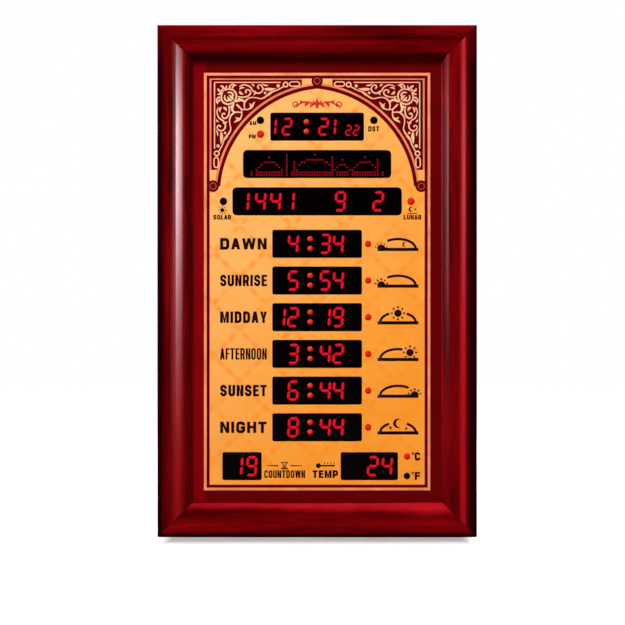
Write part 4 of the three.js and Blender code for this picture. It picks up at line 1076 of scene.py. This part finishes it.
def corner_scrolls():
    """Strokes of one half of the corner ornament, as (along, across) millimetres from the corner."""
    bead = [(109.8, 2.6), (112, -0.2), (117, -0.7), (122.6, -0.4), (125, 2.2), (123.4, 4.8), (117, 5.5),
            (111.8, 5.2)]
    stems = [
        ([(101, 6.4), (91.9, 11.2), (81.4, 15.3), (74.7, 21), (68, 23.8), (61.3, 22.6), (52.7, 22.4), (46.6, 26),
          (43.6, 31.6), (44.3, 39.4)], [1.6, 1.8, 2.2, 2.4, 1.9, 1.6, 1.8, 2.4, 2.0, 1.5]),
        ([(32, 32.6), (35.5, 36.2), (39.4, 38.9), (44.6, 40), (50, 39.2), (54.6, 36.2), (56.4, 32.2), (59, 28.6)],
         [1.5, 1.6, 1.6, 1.6, 1.9, 2.7, 3.0, 1.0]),
        ([(36.4, 6.2), (41.6, 3.7), (47, 4.2), (52.7, 7.2), (56.5, 12.6), (63, 15.8), (68, 14.6), (70.9, 10),
          (69, 5.3), (65.6, 3.8), (63.2, 6.6), (65.2, 9.2)],
         [1.3, 1.6, 1.9, 2.0, 2.1, 2.3, 2.1, 2.0, 1.8, 1.6, 2.0, 2.7]),
        ([(34, 20.6), (39.6, 21.6), (45.4, 21.2), (50.6, 18.8), (52.8, 14.6), (50, 11.2), (45.8, 12.2),
          (46.2, 15.6)], [1.5, 1.8, 2.2, 2.4, 2.2, 2.0, 2.0, 2.9]),
        ([(14.2, 11.4), (20.2, 10), (26.6, 11), (31.2, 16), (31.6, 22.6), (28.9, 28.4)],
         [2.6, 2.0, 2.2, 2.6, 2.4, 2.0]),
        ([(18.6, 15.2), (23.4, 14.8), (27, 18.2), (25.4, 22.4)], [1.4, 2.4, 2.8, 1.6]),
        ([(22.4, 4.8), (26, 2.7), (30, 3.2)], [1.4, 2.2, 1.2]),
        ([(30.4, 28.4), (34, 27), (39.5, 25.8), (43.4, 28.6), (43.8, 33)], [2.2, 3.2, 3.6, 2.6, 1.4]),
    ]
    leaves = [
        ((52.4, 36.8), (50.6, 30.4), 2.6, 0.2), ((36.2, 10.4), (44.6, 8.4), 3.0, -0.2),
        ((36.6, 12.4), (42.6, 17.2), 3.8, 0.2), ((58, 6.2), (53.6, 2.8), 2.4, 0.2),
        ((59.6, 12), (57, 19), 2.8, -0.15), ((71.6, 9.6), (90.6, 9.0), 4.8, 0.05),
        ((79, 4.6), (68.6, 1.6), 2.2, -0.1), ((27.4, 26), (20.4, 18.6), 3.8, 0.12),
        ((8.4, 4.8), (14.2, 10.2), 3.4, -0.15), ((13.6, 10.2), (17.6, 3.4), 2.8, 0.2),
        ((13.4, 13.2), (8.2, 12.2), 2.6, 0.2), ((22.4, 9.6), (25.2, 3.0), 3.0, -0.2),
        ((25.6, 10.6), (33, 4.0), 2.9, -0.25), ((33.4, 25), (37.2, 20.8), 2.6, 0.2),
        ((85.6, 14), (79, 20.6), 2.2, 0.1),
    ]
    strokes = [
        even([(0, 0), (50, 0), (97, 0)], 1.45), even(circle_points(104.2, 3.2, 3.3, 12), 1.9, True),
        even(bead, 1.7, True), even(circle_points(93.2, 5.2, 1.5, 8), 1.7, True),
        even(circle_points(74.2, 15.4, 1.0, 6), 1.7, True),
    ]
    return strokes + [tapered(*stem) for stem in stems] + [leaf(*each) for each in leaves]


class ClockArabesque(bpy.types.Operator):
    """Prints the scrollwork of both spandrels and the small leaf ornament over the clock"""

    bl_idname = "clock.arabesque"
    bl_label = "Scrollwork"

    corner = (-150.4, 666.4)
    proud = 0.1 * MM
    rise = 0.16 * MM
    swell = 1.15
    crest_height = 633.5
    crest_proud = 0.02 * MM
    crest_rise = 0.12 * MM
    crest_swell = 1.6

    def crest(self):
        """Strokes of the leaf ornament: a scroll and four leaves on each side of an upright leaf."""
        strokes = []
        for side in (-1, 1):
            def at(x, z, side=side):
                return side * x, self.crest_height + z

            strokes += [
                tapered([at(4, 0), at(11, 3.4), at(19, 3.8), at(26, 1.2), at(30.5, -3.2)], [1.4, 2.0, 1.4]),
                tapered([at(*point) for point in spiral((31.5, 1.0), 5.0, 1.8, 0.75, 1.1)], [1.3, 1.2, 2.2]),
                leaf(at(11, 3.2), at(18, -3.4), 3.2, 0.2 * side),
                leaf(at(19, 3.6), at(25.4, 7.4), 2.8, -0.2 * side),
                leaf(at(4.6, 0.4), at(10.4, -4.8), 2.6, 0.2 * side),
                leaf(at(0.8, 0), at(5.6, 6.8), 3.0, -0.15 * side),
            ]
        strokes.append(leaf((0, self.crest_height - 6), (0, self.crest_height + 10), 3.6))
        return [
            (points, [width * self.crest_swell for width in widths], closed) for points, widths, closed in strokes
        ]

    def execute(self, context):
        across, down = self.corner
        strokes = []
        for points, widths, closed in corner_scrolls():
            for turned_points in (points, [(v, u) for u, v in points]):
                placed = [(across + u, down - v) for u, v in turned_points]
                strokes.append((placed, [width * self.swell for width in widths], closed))
        left = scrollwork(strokes, FACE_Y - self.proud, self.rise)
        dress_pair(left, "print.scrollwork", "cream", smooth_degrees=60)
        ornament = scrollwork(self.crest(), FACE_Y - self.crest_proud, self.crest_rise)
        dress(ornament, "print.crest", "crimson", smooth_degrees=60)
        return {"FINISHED"}


class ClockWords(bpy.types.Operator):
    """Prints the generic words beside the displays and lamps"""

    bl_idname = "clock.words"
    bl_label = "Words"

    left = -142.2
    right = -73.9
    cap_height = 16.6
    texts = {"noon": "MIDDAY"}
    # name, text, left, right, foot, height
    small_words = (
        ("am", "AM", -99.0, -89.2, 603.8, 5.8), ("pm", "PM", -100.2, -90.2, 584.2, 5.8),
        ("dst", "DST", 74.8, 91.0, 594.4, 7.6), ("solar", "SOLAR", -152.2, -126.2, 465.2, 7.0),
        ("lunar", "LUNAR", 126.8, 152.8, 465.2, 7.0), ("countdown", "COUNTDOWN", -77.6, -17.6, 86.4, 11.2),
        ("temperature", "TEMP", -6.8, 30.8, 86.4, 11.2), ("celsius", "C", 142.9, 151.3, 112.2, 11.8),
        ("fahrenheit", "F", 143.1, 151.1, 83.4, 11.8),
    )
    degree_x = 140.4
    degree_z = {"celsius": 122.4, "fahrenheit": 93.6}

    def execute(self, context):
        words = [
            (name, self.texts.get(name, name.upper()), self.left, self.right, ROW_Z[name] - self.cap_height / 2,
             self.cap_height)
            for name in TIMES
        ]
        for name, *place in words + list(self.small_words):
            dress(lettering(*place), "word." + name, "ink")
        for name, z in self.degree_z.items():
            ring = [circle_points(self.degree_x, z, 2.0, 16), circle_points(self.degree_x, z, 0.8, 12)]
            print_shape("sign.degree_" + name, "ink", ring)
        return {"FINISHED"}


def crescent(x, z, radius):
    """Outline of a moon's crescent, open to the right."""
    outer = circle_points(x, z, radius, 22, math.radians(50), math.radians(260))
    inner = circle_points(x + radius * 0.42, z, radius * 0.84, 18, math.radians(293), math.radians(-226))
    return outer + inner


def star(x, z, radius, points=5):
    loop = []
    for i in range(points * 2):
        reach = radius if i % 2 == 0 else radius * 0.42
        angle = math.pi / 2 + math.pi * i / points
        loop.append((x + reach * math.cos(angle), z + reach * math.sin(angle)))
    return loop


def rays(x, z, near, far, angles, widths):
    """Short strokes that point out from x, z."""
    lines = [[(x + reach * math.cos(turn), z + reach * math.sin(turn)) for reach in (near, far)] for turn in angles]
    return [tapered(line, widths) for line in lines]


class ClockSigns(bpy.types.Operator):
    """Prints a sign for each time of the day, with sun or moon on the sky's arc, and the small signs"""

    bl_idname = "clock.signs"
    bl_label = "Signs"

    left = 88.5
    right = 148.5
    ground_drop = 8.2
    ground_width = 5.4
    arc_share = 0.86
    arc_rise = 14.0
    arc_lift = 1.2
    arc_width = 4.2
    high_clear = 10.8
    low_clear = 12.2
    sun = 5.4
    along = {"dawn": 0.1, "sunrise": 0.1, "noon": 0.5, "afternoon": 0.74, "sunset": 0.9, "night": 0.5}
    low_suns = ("dawn", "sunrise", "sunset")

    def on_arc(self, turn, foot):
        middle, reach = (self.left + self.right) / 2, (self.right - self.left) / 2 * self.arc_share
        return middle + reach * math.cos(turn), foot + self.arc_rise * math.sin(turn)

    def arc(self, foot, body, clear):
        """Strokes along the sky's arc that keep clear of the sun or moon."""
        runs = [[]]
        for i in range(25):
            point = self.on_arc(math.pi * i / 24, foot)
            if math.dist(point, body) > clear:
                runs[-1].append(point)
            else:
                runs.append([])
        return [even(run, self.arc_width) for run in runs if len(run) > 1]

    def sky(self, name):
        """Strokes and filled shapes of one sign."""
        ground, middle = ROW_Z[name] - self.ground_drop, (self.left + self.right) / 2
        x, z = self.on_arc(math.pi * (1 - self.along[name]), ground)
        low_sun = name in self.low_suns
        if low_sun:
            z = ground + 1.0
        strokes = [even([(self.left, ground), (middle, ground), (self.right, ground)], self.ground_width)]
        strokes += self.arc(ground + self.arc_lift, (x, z), self.low_clear if low_sun else self.high_clear)
        if name == "night":
            return strokes, [crescent(x, z, self.sun * 1.3), star(x - 11, z - 6.5, 3.0), star(x + 12, z - 7.5, 2.7)]
        if low_sun:
            loops = [circle_points(x, z, self.sun + 0.8, 18, 0, math.pi)]
            angles = [math.pi * (i + 0.5) / 5 for i in range(5)]
        else:
            loops = [circle_points(x, z, self.sun, 24)]
            angles = [math.tau * i / 8 for i in range(8)]
        strokes += rays(x, z, self.sun + 2.2, self.sun + (3.8 if name == "dawn" else 5.0), angles, [3.0, 2.4])
        if name == "dawn":
            loops.append(crescent(middle + 10, ground + 7.4, 3.6))
        return strokes, loops

    def small_signs(self):
        """The sun and moon by the calendar lamps, the hourglass and the thermometer."""
        level = 104.4
        hourglass = [even([(-53.0, z), (-43.0, z)], 1.7) for z in (109.0, 99.8)]
        wall = ((-3.8, 109), (-2.6, 106.6), (0, level), (2.6, 102.2), (3.8, 99.8))
        hourglass += [even([(side * x - 48, z) for x, z in wall], 1.3) for side in (1, -1)]
        hourglass.append(tapered([(-74, level), (-66, level), (-57, level)], [1.0, 2.0]))
        hourglass.append(tapered([(-22, level), (-30, level), (-39, level)], [1.0, 2.0]))
        thermometer = [even([(3.5, level), (26, level)], 2.6)]
        thermometer += [even([(11 + i * 4.6, 106.6), (11 + i * 4.6, 109.4)], 1.2) for i in range(4)]
        sun_rays = rays(-139.2, 479.0, 4.4, 6.4, [math.tau * i / 8 for i in range(8)], [1.4, 1.2])
        moon = [crescent(138.4, 480.2, 4.2), star(144.0, 480.4, 2.3)]
        return (
            ("solar", sun_rays, [circle_points(-139.2, 479.0, 3.1, 20)]),
            ("lunar", [even([(132.4, 474.0), (146.6, 474.0)], 1.4)], moon),
            ("countdown", hourglass, [[(-50.2, 100.6), (-45.8, 100.6), (-48, 103.2)]]),
            ("temperature", thermometer, [circle_points(1.8, level, 3.6, 20)]),
        )

    def execute(self, context):
        for name in TIMES:
            print_sign(name, *self.sky(name))
        for name, strokes, loops in self.small_signs():
            print_sign(name, strokes, loops)
        return {"FINISHED"}


class ClockFigures(bpy.types.Operator):
    """Lights the bars and colons of every display"""

    bl_idname = "clock.figures"
    bl_label = "Lit figures"

    colon_x = {"clock": -15.66, **{name: -10.13 for name in TIMES}}
    colon_radius = 4.2
    colon_rise = 2.3
    colon_sunk = 0.3
    colon_spread = 7.1

    def bars(self, node):
        """Rounded caps on the bars that a display's node raises from its lens."""
        piece = copy_of_node(node)
        enter_edit(piece)
        pick_faces(piece, lambda face: not (
            face.normal.y < -0.9 and abs(face.calc_center_median().y - BAR_Y) < 0.05 * MM))
        bpy.ops.mesh.delete(type="FACE")
        bpy.ops.mesh.select_all(action="SELECT")
        bpy.ops.mesh.dissolve_limited(angle_limit=math.radians(1))
        bpy.ops.mesh.select_all(action="SELECT")
        bpy.ops.mesh.bevel(offset=22, offset_type="PERCENT", segments=3, affect="VERTICES")
        bpy.ops.mesh.select_all(action="SELECT")
        bpy.ops.mesh.extrude_region_move(TRANSFORM_OT_translate={"value": (0, -0.12 * MM, 0)})
        bpy.ops.mesh.inset(thickness=0.3 * MM, depth=0.1 * MM)
        leave_edit()
        return piece

    def execute(self, context):
        dress_node("display_message", "lens")
        profile = dome(self.colon_radius, BAR_Y / MM + self.colon_sunk, self.colon_rise, 7)
        profile.append((0, BAR_Y / MM + self.colon_sunk))
        for name in ["clock", "date"] + TIMES + ["countdown", "temperature"]:
            node = "display_" + name
            dress_node(node, "lens")
            dress(self.bars(node), "figures." + name, "figure", smooth_degrees=30)
            if name in self.colon_x:
                middle = box_mm(node)[2].z
                heights = (middle - self.colon_spread, middle + self.colon_spread)
                lamps = [turned(profile, self.colon_x[name], height, 24) for height in heights]
                dress(join_pieces(lamps), "colon." + name, "colon", smooth_degrees=60)
        return {"FINISHED"}


class ClockMessage(bpy.types.Operator):
    """Lights the message's dots as a plain row of domes and towers"""

    bl_idname = "clock.message"
    bl_label = "Message dots"

    columns = 53
    rows = 9
    drop = 1.2
    # column, half width and height of each dome; column and height of each tower; columns bare at the base
    domes = ((7, 5, 4), (25, 7, 5), (36, 3, 3), (45, 5, 4))
    towers = ((14, 9), (17, 6), (32, 8), (50, 7))
    gaps = (1, 13, 15, 33, 39, 51)

    def lit(self, column, row):
        """A row of domes and towers in outline, over a base two dots high."""
        if row < 2:
            return column not in self.gaps
        if any(column == place and row < height for place, height in self.towers):
            return True
        for place, half, height in self.domes:
            off = (column - place) / half
            if abs(off) <= 1 and row == 1 + max(1, round(height * math.sqrt(1 - off * off * 0.98))):
                return True
            if column == place and row == height + 3:
                return True
        return False

    def execute(self, context):
        lights = context.scene.clock_lights
        pitch, radius = lights.dot_pitch / MM, lights.dot_radius / MM
        middle = box_mm("display_message")[2].z - self.drop
        face = BAR_Y / MM
        profile = [(0, face - 0.22), (radius * 0.6, face - 0.18), (radius, face - 0.04), (radius, face + 0.05),
                   (0, face + 0.05)]
        places = [
            ((column - (self.columns - 1) / 2) * pitch, middle + (row - (self.rows - 1) / 2) * pitch)
            for column in range(self.columns) for row in range(self.rows) if self.lit(column, row)
        ]
        across, up = places[0]
        first = turned(profile, across, up, 12)
        dots = [first] + [copy_of_piece(first, ((x - across) * MM, 0, (z - up) * MM)) for x, z in places[1:]]
        dress(join_pieces(dots), "message.dots", "dot", smooth_degrees=60)
        return {"FINISHED"}


class ClockLamps(bpy.types.Operator):
    """Makes the thirteen round lamps, lit or unlit"""

    bl_idname = "clock.lamps"
    bl_label = "Lamps"

    lit = ["pm", "lunar_calendar", "celsius"] + TIMES
    unlit = ["am", "daylight_saving", "solar_calendar", "fahrenheit"]
    collar_width = 0.6
    collar_proud = 0.5
    collar_depth = 1.4

    def execute(self, context):
        face = FACE_Y / MM
        for name in self.lit + self.unlit:
            node = "lamp_" + name
            low, high, middle = box_mm(node)
            radius = (high.z - low.z) / 2 - self.collar_width
            collar, front = radius + self.collar_proud, high.y - self.collar_depth
            profile = dome(radius, face, face - low.y, 8)
            profile += [(radius, front - 0.2), (collar, front), (collar, high.y), (0, high.y)]
            finish = "lamp_lit" if name in self.lit else "lamp_dark"
            lamp = turned(profile, middle.x, middle.z)
            dress(lamp, "lamp." + name, finish, replaces=(node,), smooth_degrees=50)
        return {"FINISHED"}


class ClockInside(bpy.types.Operator):
    """Gives the back cover and the boards, speaker, cables and inlet behind the panel their materials"""

    bl_idname = "clock.inside"
    bl_label = "Inner parts"

    finishes = {
        "board": ("display_board", "main_board", "control_board"),
        "steel": ("coin_cell", "volume_potentiometer"),
        "paper": ("speaker_cone", "speaker_basket"),
        "cable": ("speaker_lead", "ribbon_cable"),
        "satin": ("power_jack", "jack_cup"),
        "cover": ("back_cover",),
    }

    def execute(self, context):
        for finish, nodes in self.finishes.items():
            for node in nodes:
                dress_node(node, finish)
        return {"FINISHED"}


class ClockFasteners(bpy.types.Operator):
    """Makes the screws and hangers on the back"""

    bl_idname = "clock.fasteners"
    bl_label = "Fasteners"

    head_height = 2.0
    shank_radius = 1.7
    point_length = 3.0
    slot_reach = 1.8
    slot_half_width = 0.375
    slot_depth = 1.2

    def screw(self, node):
        """A domed screw with a crossed slot, from the height of its head down to its point."""
        low, high, middle = box_mm(node)
        top, radius, neck = high.y, (high.x - low.x) / 2, high.y - self.head_height
        profile = [
            (0, top), (radius * 0.5, top - 0.12), (radius * 0.85, top - 0.5), (radius, top - 1.1), (radius, neck),
            (self.shank_radius, neck), (self.shank_radius, low.y + self.point_length), (0, low.y),
        ]
        screw = turned(profile, middle.x, middle.z, 28)
        for x, z in ((self.slot_reach, self.slot_half_width), (self.slot_half_width, self.slot_reach)):
            bit = block(
                ((middle.x - x) * MM, (top - self.slot_depth) * MM, (middle.z - z) * MM),
                ((middle.x + x) * MM, (top + 1) * MM, (middle.z + z) * MM),
            )
            finish_with(screw, "BOOLEAN", object=bit, operation="DIFFERENCE", solver="EXACT")
            bpy.data.objects.remove(bit)
        return screw

    def execute(self, context):
        screws = [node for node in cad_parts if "screw" in node]
        for node in screws + ["hanger_left", "hanger_right"]:
            piece = self.screw(node) if node in screws else soft_copy(node, 0.25 * MM)
            smooth = 40 if node in screws else 35
            dress(piece, node.replace("_", "."), "steel", replaces=(node,), smooth_degrees=smooth)
        return {"FINISHED"}


class ClockControls(bpy.types.Operator):
    """Makes the push buttons, the volume knob and the plain marks beside them"""

    bl_idname = "clock.controls"
    bl_label = "Controls"

    buttons = ("menu", "up", "down", "enter")
    button_radius = 4.5
    knob_height = 3.6
    flutes = 30
    flute_depth = 0.55
    rim_width = 1.8
    dish_depth = 0.5
    shaft_radius = 3.0
    pointer_near = 2.6
    pointer_far = 7.4
    pointer_half_width = 0.6
    sweep = 280
    scale_radius = 15
    scale_dots = 9
    button_mark_gap = 6
    inlet_mark_gap = 7

    def execute(self, context):
        for name in self.buttons:
            self.button("button_" + name)
        self.knob()
        self.marks()
        return {"FINISHED"}

    def button(self, node):
        """A push button with a dished top and a flange."""
        low, high, middle = box_mm(node)
        top, foot, radius, flange = high.y, low.y, self.button_radius, (high.x - low.x) / 2
        profile = [
            (0, top - 0.5), (radius * 0.55, top - 0.42), (radius * 0.8, top - 0.1), (radius * 0.92, top),
            (radius, top - 0.45), (radius, foot + 2.0), (flange, foot + 1.7), (flange, foot), (0, foot),
        ]
        button = turned(profile, middle.x, middle.z)
        dress(button, node.replace("_", "."), "satin", body=node, replaces=(node,),
              smooth_degrees=40)

    def knob(self):
        """A fluted knob with a dished face and a white pointer."""
        low, high, middle = box_mm("volume_knob")
        x, z, top, foot = middle.x, middle.z, high.y, low.y
        reach = (high.x - low.x) / 2
        outline = []
        for turn in (math.tau * i / 180 for i in range(180)):
            radius = reach - self.flute_depth * abs(math.sin(self.flutes / 2 * turn))
            outline.append((x + radius * math.cos(turn), z + radius * math.sin(turn)))
        head = flat_plate([outline], (top - self.knob_height) * MM, self.knob_height * MM)
        enter_edit(head)
        bpy.ops.mesh.remove_doubles(threshold=MESH_MERGE)
        bpy.ops.mesh.dissolve_limited(angle_limit=math.radians(1))
        pick_faces(head, lambda face: face.normal.y > 0.9)
        bpy.ops.mesh.inset(thickness=0.4 * MM)
        bpy.ops.mesh.inset(thickness=self.rim_width * MM, depth=0)
        bpy.ops.mesh.inset(thickness=0.5 * MM, depth=-self.dish_depth * MM)
        leave_edit()
        neck, radius = top - self.knob_height + 0.2, self.shaft_radius
        shaft = turned([(0, neck), (radius, neck), (radius, foot + 0.4), (radius - 0.4, foot), (0, foot)], x, z, 24)
        dress(join_pieces([head, shaft]), "volume.knob", "satin", body="volume_knob",
              replaces=("volume_knob",), smooth_degrees=30)
        way = Vector(self.scale_way(0))
        near, far, half = self.pointer_near, self.pointer_far, self.pointer_half_width
        corners = [way * along + way.orthogonal() * aside
                   for along, aside in ((near, -half), (far, -half), (far, half), (near, half))]
        line = [(x + corner.x, z + corner.y) for corner in corners]
        pointer = flat_plate([line], (top - self.dish_depth - 0.02) * MM, 0.06 * MM)
        dress(pointer, "volume.pointer", "white_mark", body="volume_knob")

    def scale_way(self, share):
        """Direction from the knob's middle to a share of its sweep, which runs clockwise seen from behind."""
        turn = math.radians(90 + self.sweep * (0.5 - share))
        return -math.cos(turn), math.sin(turn)

    def button_mark(self, name):
        """Three bars for the menu, a dot in a ring to enter, and a triangle for up or down."""
        _, high, middle = box_mm("button_" + name)
        x, z = middle.x, high.z + self.button_mark_gap
        if name == "menu":
            return [rectangle_points(x - 2.4, z + d - 0.4, x + 2.4, z + d + 0.4) for d in (-1.8, 0, 1.8)]
        if name == "enter":
            return [circle_points(x, z, 2.5, 24), circle_points(x, z, 1.7, 24), circle_points(x, z, 0.8, 16)]
        rise = 1 if name == "up" else -1
        return [[(x - 2.5, z - 1.8 * rise), (x + 2.5, z - 1.8 * rise), (x, z + 2.4 * rise)]]

    def marks(self):
        """Plain white marks by the buttons, the knob and the inlet."""
        loops = [loop for name in self.buttons for loop in self.button_mark(name)]
        middle = box_mm("volume_knob")[2]
        for i in range(self.scale_dots):
            across, up = self.scale_way(i / (self.scale_dots - 1))
            place = middle.x + self.scale_radius * across, middle.z + self.scale_radius * up
            loops.append(circle_points(*place, 0.45 + 0.09 * i, 12))
        _, high, middle = box_mm("jack_cup")
        x, z = middle.x, high.z + self.inlet_mark_gap
        loops += [circle_points(x, z, 3.0, 28), circle_points(x, z, 2.3, 28), circle_points(x, z, 0.9, 16)]
        for middle_x in (x - 6.4, x + 6.4):
            loops.append(rectangle_points(middle_x - 2.2, z - 0.35, middle_x + 2.2, z + 0.35))
        loops.append(rectangle_points(x + 11.4, z - 2.0, x + 12.1, z + 2.0))
        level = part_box("back_cover")[1].y - 0.01 * MM
        dress(flat_plate(loops, level, 0.05 * MM), "marks.back", "white_mark")


class ClockStageSet(bpy.types.Operator):
    """Sets the floor, the lights, the room and the camera"""

    bl_idname = "clock.stage"
    bl_label = "Stage"

    floor_size = 16
    # metres before or behind the clock where the floor's painted shadow, a band without glow over which the real
    # shadow also falls, starts to fade and where it is gone;
    # to the sides it fades this many times faster
    painted_shadow_near = 0.055
    painted_shadow_far = 0.17
    side_slope = 5.0
    sensor_width = 36

    def light(self, name, location, target, power, size):
        bpy.ops.object.select_all(action="DESELECT")
        bpy.ops.object.light_add(type="AREA", location=location)
        lamp = bpy.context.object
        lamp.name = name
        lamp.data.shape = "RECTANGLE"
        lamp.data.size, lamp.data.size_y = size
        lamp.data.energy = power
        lamp.rotation_euler = (Vector(target) - Vector(location)).to_track_quat("-Z", "Y").to_euler()
        lamp.visible_camera = False
        lamp.visible_glossy = False
        return lamp

    def floor_material(self):
        """A matt pale floor that also glows white, apart from a band before and behind the clock: a painted shadow,
        over which the real shadow also falls.
        """
        material = bpy.data.materials.new("Pale floor")
        material.use_nodes = True
        board = NodeBoard(material.node_tree)
        nodes = material.node_tree.nodes
        nodes.remove(nodes["Principled BSDF"])
        mottle = board.noise(board.object_place(), 3.0)
        matte_tone = board.blend(mottle, srgb(184, 183, 184), srgb(190, 190, 190))
        matte = board.add("ShaderNodeBsdfDiffuse", Color=matte_tone)
        place = board.axes(board.object_place())
        side_shift = self.painted_shadow_far - self.side_slope * part_bounds[1][0]
        beside = board.math("MULTIPLY_ADD", board.math("ABSOLUTE", place[0]), self.side_slope, side_shift)
        before = board.math("SUBTRACT", board.math("ABSOLUTE", place[1]), part_bounds[1][1])
        # painted shadow: the floor glows only away from the clock, so near it the matt floor shows darker, with the
        # real shadow on it
        far = board.remap(board.math("MAXIMUM", beside, before), self.painted_shadow_near, self.painted_shadow_far)
        path = board.add("ShaderNodeLightPath").outputs
        seen = board.math("MAXIMUM", path["Is Camera Ray"], path["Is Glossy Ray"])
        glow_tone = board.blend(mottle, srgb(247, 246, 246), srgb(250, 250, 250))
        glow = board.add("ShaderNodeEmission", Color=glow_tone, Strength=board.times(seen, far))
        both = board.add("ShaderNodeAddShader", i0=matte.outputs[0], i1=glow.outputs[0])
        board.feed(nodes["Material Output"].inputs["Surface"], both.outputs[0])
        return material

    def room(self, context, level):
        """A room that is white to the camera, dim to matt surfaces and bright to gloss only far behind."""
        world = context.scene.world or bpy.data.worlds.new("Room")
        context.scene.world = world
        world.use_nodes = True
        board = NodeBoard(world.node_tree)
        background = world.node_tree.nodes["Background"]
        background.inputs["Color"].default_value = (1, 1, 1, 1)
        path = board.add("ShaderNodeLightPath").outputs
        direction = board.add("ShaderNodeTexCoord").outputs["Generated"]
        backwards = board.remap(board.axes(direction)[1], 0.35, 0.8)
        shiny = board.times(path["Is Glossy Ray"], backwards)
        direct = board.math("MAXIMUM", path["Is Camera Ray"], path["Is Transmission Ray"])
        matt = board.math("SUBTRACT", 1.0, board.math("MAXIMUM", direct, path["Is Glossy Ray"]))
        strength = board.math("ADD", board.math("ADD", direct, shiny), board.times(matt, level))
        board.feed(background.inputs["Strength"], strength)

    def execute(self, context):
        stage = context.scene.clock_stage
        bpy.ops.object.select_all(action="DESELECT")
        bpy.ops.mesh.primitive_plane_add(size=self.floor_size, location=(0, 0, 0))
        floor = bpy.context.object
        floor.name = "floor"
        floor.data.materials.append(self.floor_material())
        self.light("overhead", (-0.1, 0.1, 2.0), (-0.1, 0.1, 0), stage.key_power, (1.6, 0.12))
        strip = self.light("left_strip", (-1.62, -0.24, 0.85), (-0.2, -0.02, 0.6), stage.side_power, (1.5, 0.75))
        strip.data.color = (1.0, 0.87, 0.96)
        strip.visible_glossy = True
        strip.visible_diffuse = False
        self.light("high_front", (-1.2, -2.5, 3.3), (0, 0, 0.36), stage.fill_power, (1.8, 1.2))
        self.light("behind", (0.9, 2.6, 1.9), (0, 0, 0.4), stage.back_power, (1.6, 1.2))
        self.room(context, stage.room_level)
        bpy.ops.object.camera_add(location=(stage.aim_x, -stage.distance, stage.aim_z), rotation=(math.pi / 2, 0, 0))
        camera = bpy.context.object
        camera.data.sensor_width = self.sensor_width
        camera.data.lens = self.sensor_width * stage.distance / stage.picture_width
        context.scene.camera = camera
        context.scene.view_settings.view_transform = "Standard"
        return {"FINISHED"}


PIECES = (
    ClockRails, ClockPanel, ClockBorder, ClockArch, ClockArabesque, ClockWords, ClockSigns, ClockFigures,
    ClockMessage, ClockLamps, ClockInside, ClockFasteners, ClockControls, ClockStageSet,
)
GROUPS = (
    (ClockPrint, "clock_print"), (ClockLights, "clock_lights"), (ClockWood, "clock_wood"),
    (ClockStage, "clock_stage"),
)


class VIEW3D_PT_wall_clock(bpy.types.Panel):
    """Lists the clock's pieces and their sizes and colours"""

    bl_idname = "VIEW3D_PT_wall_clock"
    bl_label = "Wall clock"
    bl_space_type = "VIEW_3D"
    bl_region_type = "UI"
    bl_category = "Wall clock"

    def draw(self, context):
        for piece in PIECES:
            self.layout.operator(piece.bl_idname)
        for group, name in GROUPS:
            box = self.layout.box()
            box.label(text=group.__doc__)
            for setting in group.__annotations__:
                box.prop(getattr(context.scene, name), setting)


CLASSES = tuple(group for group, _ in GROUPS) + PIECES + (VIEW3D_PT_wall_clock,)


def register():
    for each in CLASSES:
        bpy.utils.register_class(each)
    for group, name in GROUPS:
        setattr(bpy.types.Scene, name, PointerProperty(type=group))


def unregister():
    for _, name in GROUPS:
        delattr(bpy.types.Scene, name)
    for each in reversed(CLASSES):
        bpy.utils.unregister_class(each)


def main():
    register()
    for piece in PIECES:
        category, name = piece.bl_idname.split(".")
        getattr(getattr(bpy.ops, category), name)()
    bpy.context.view_layer.update()


if __name__ == "__main__":
    main()
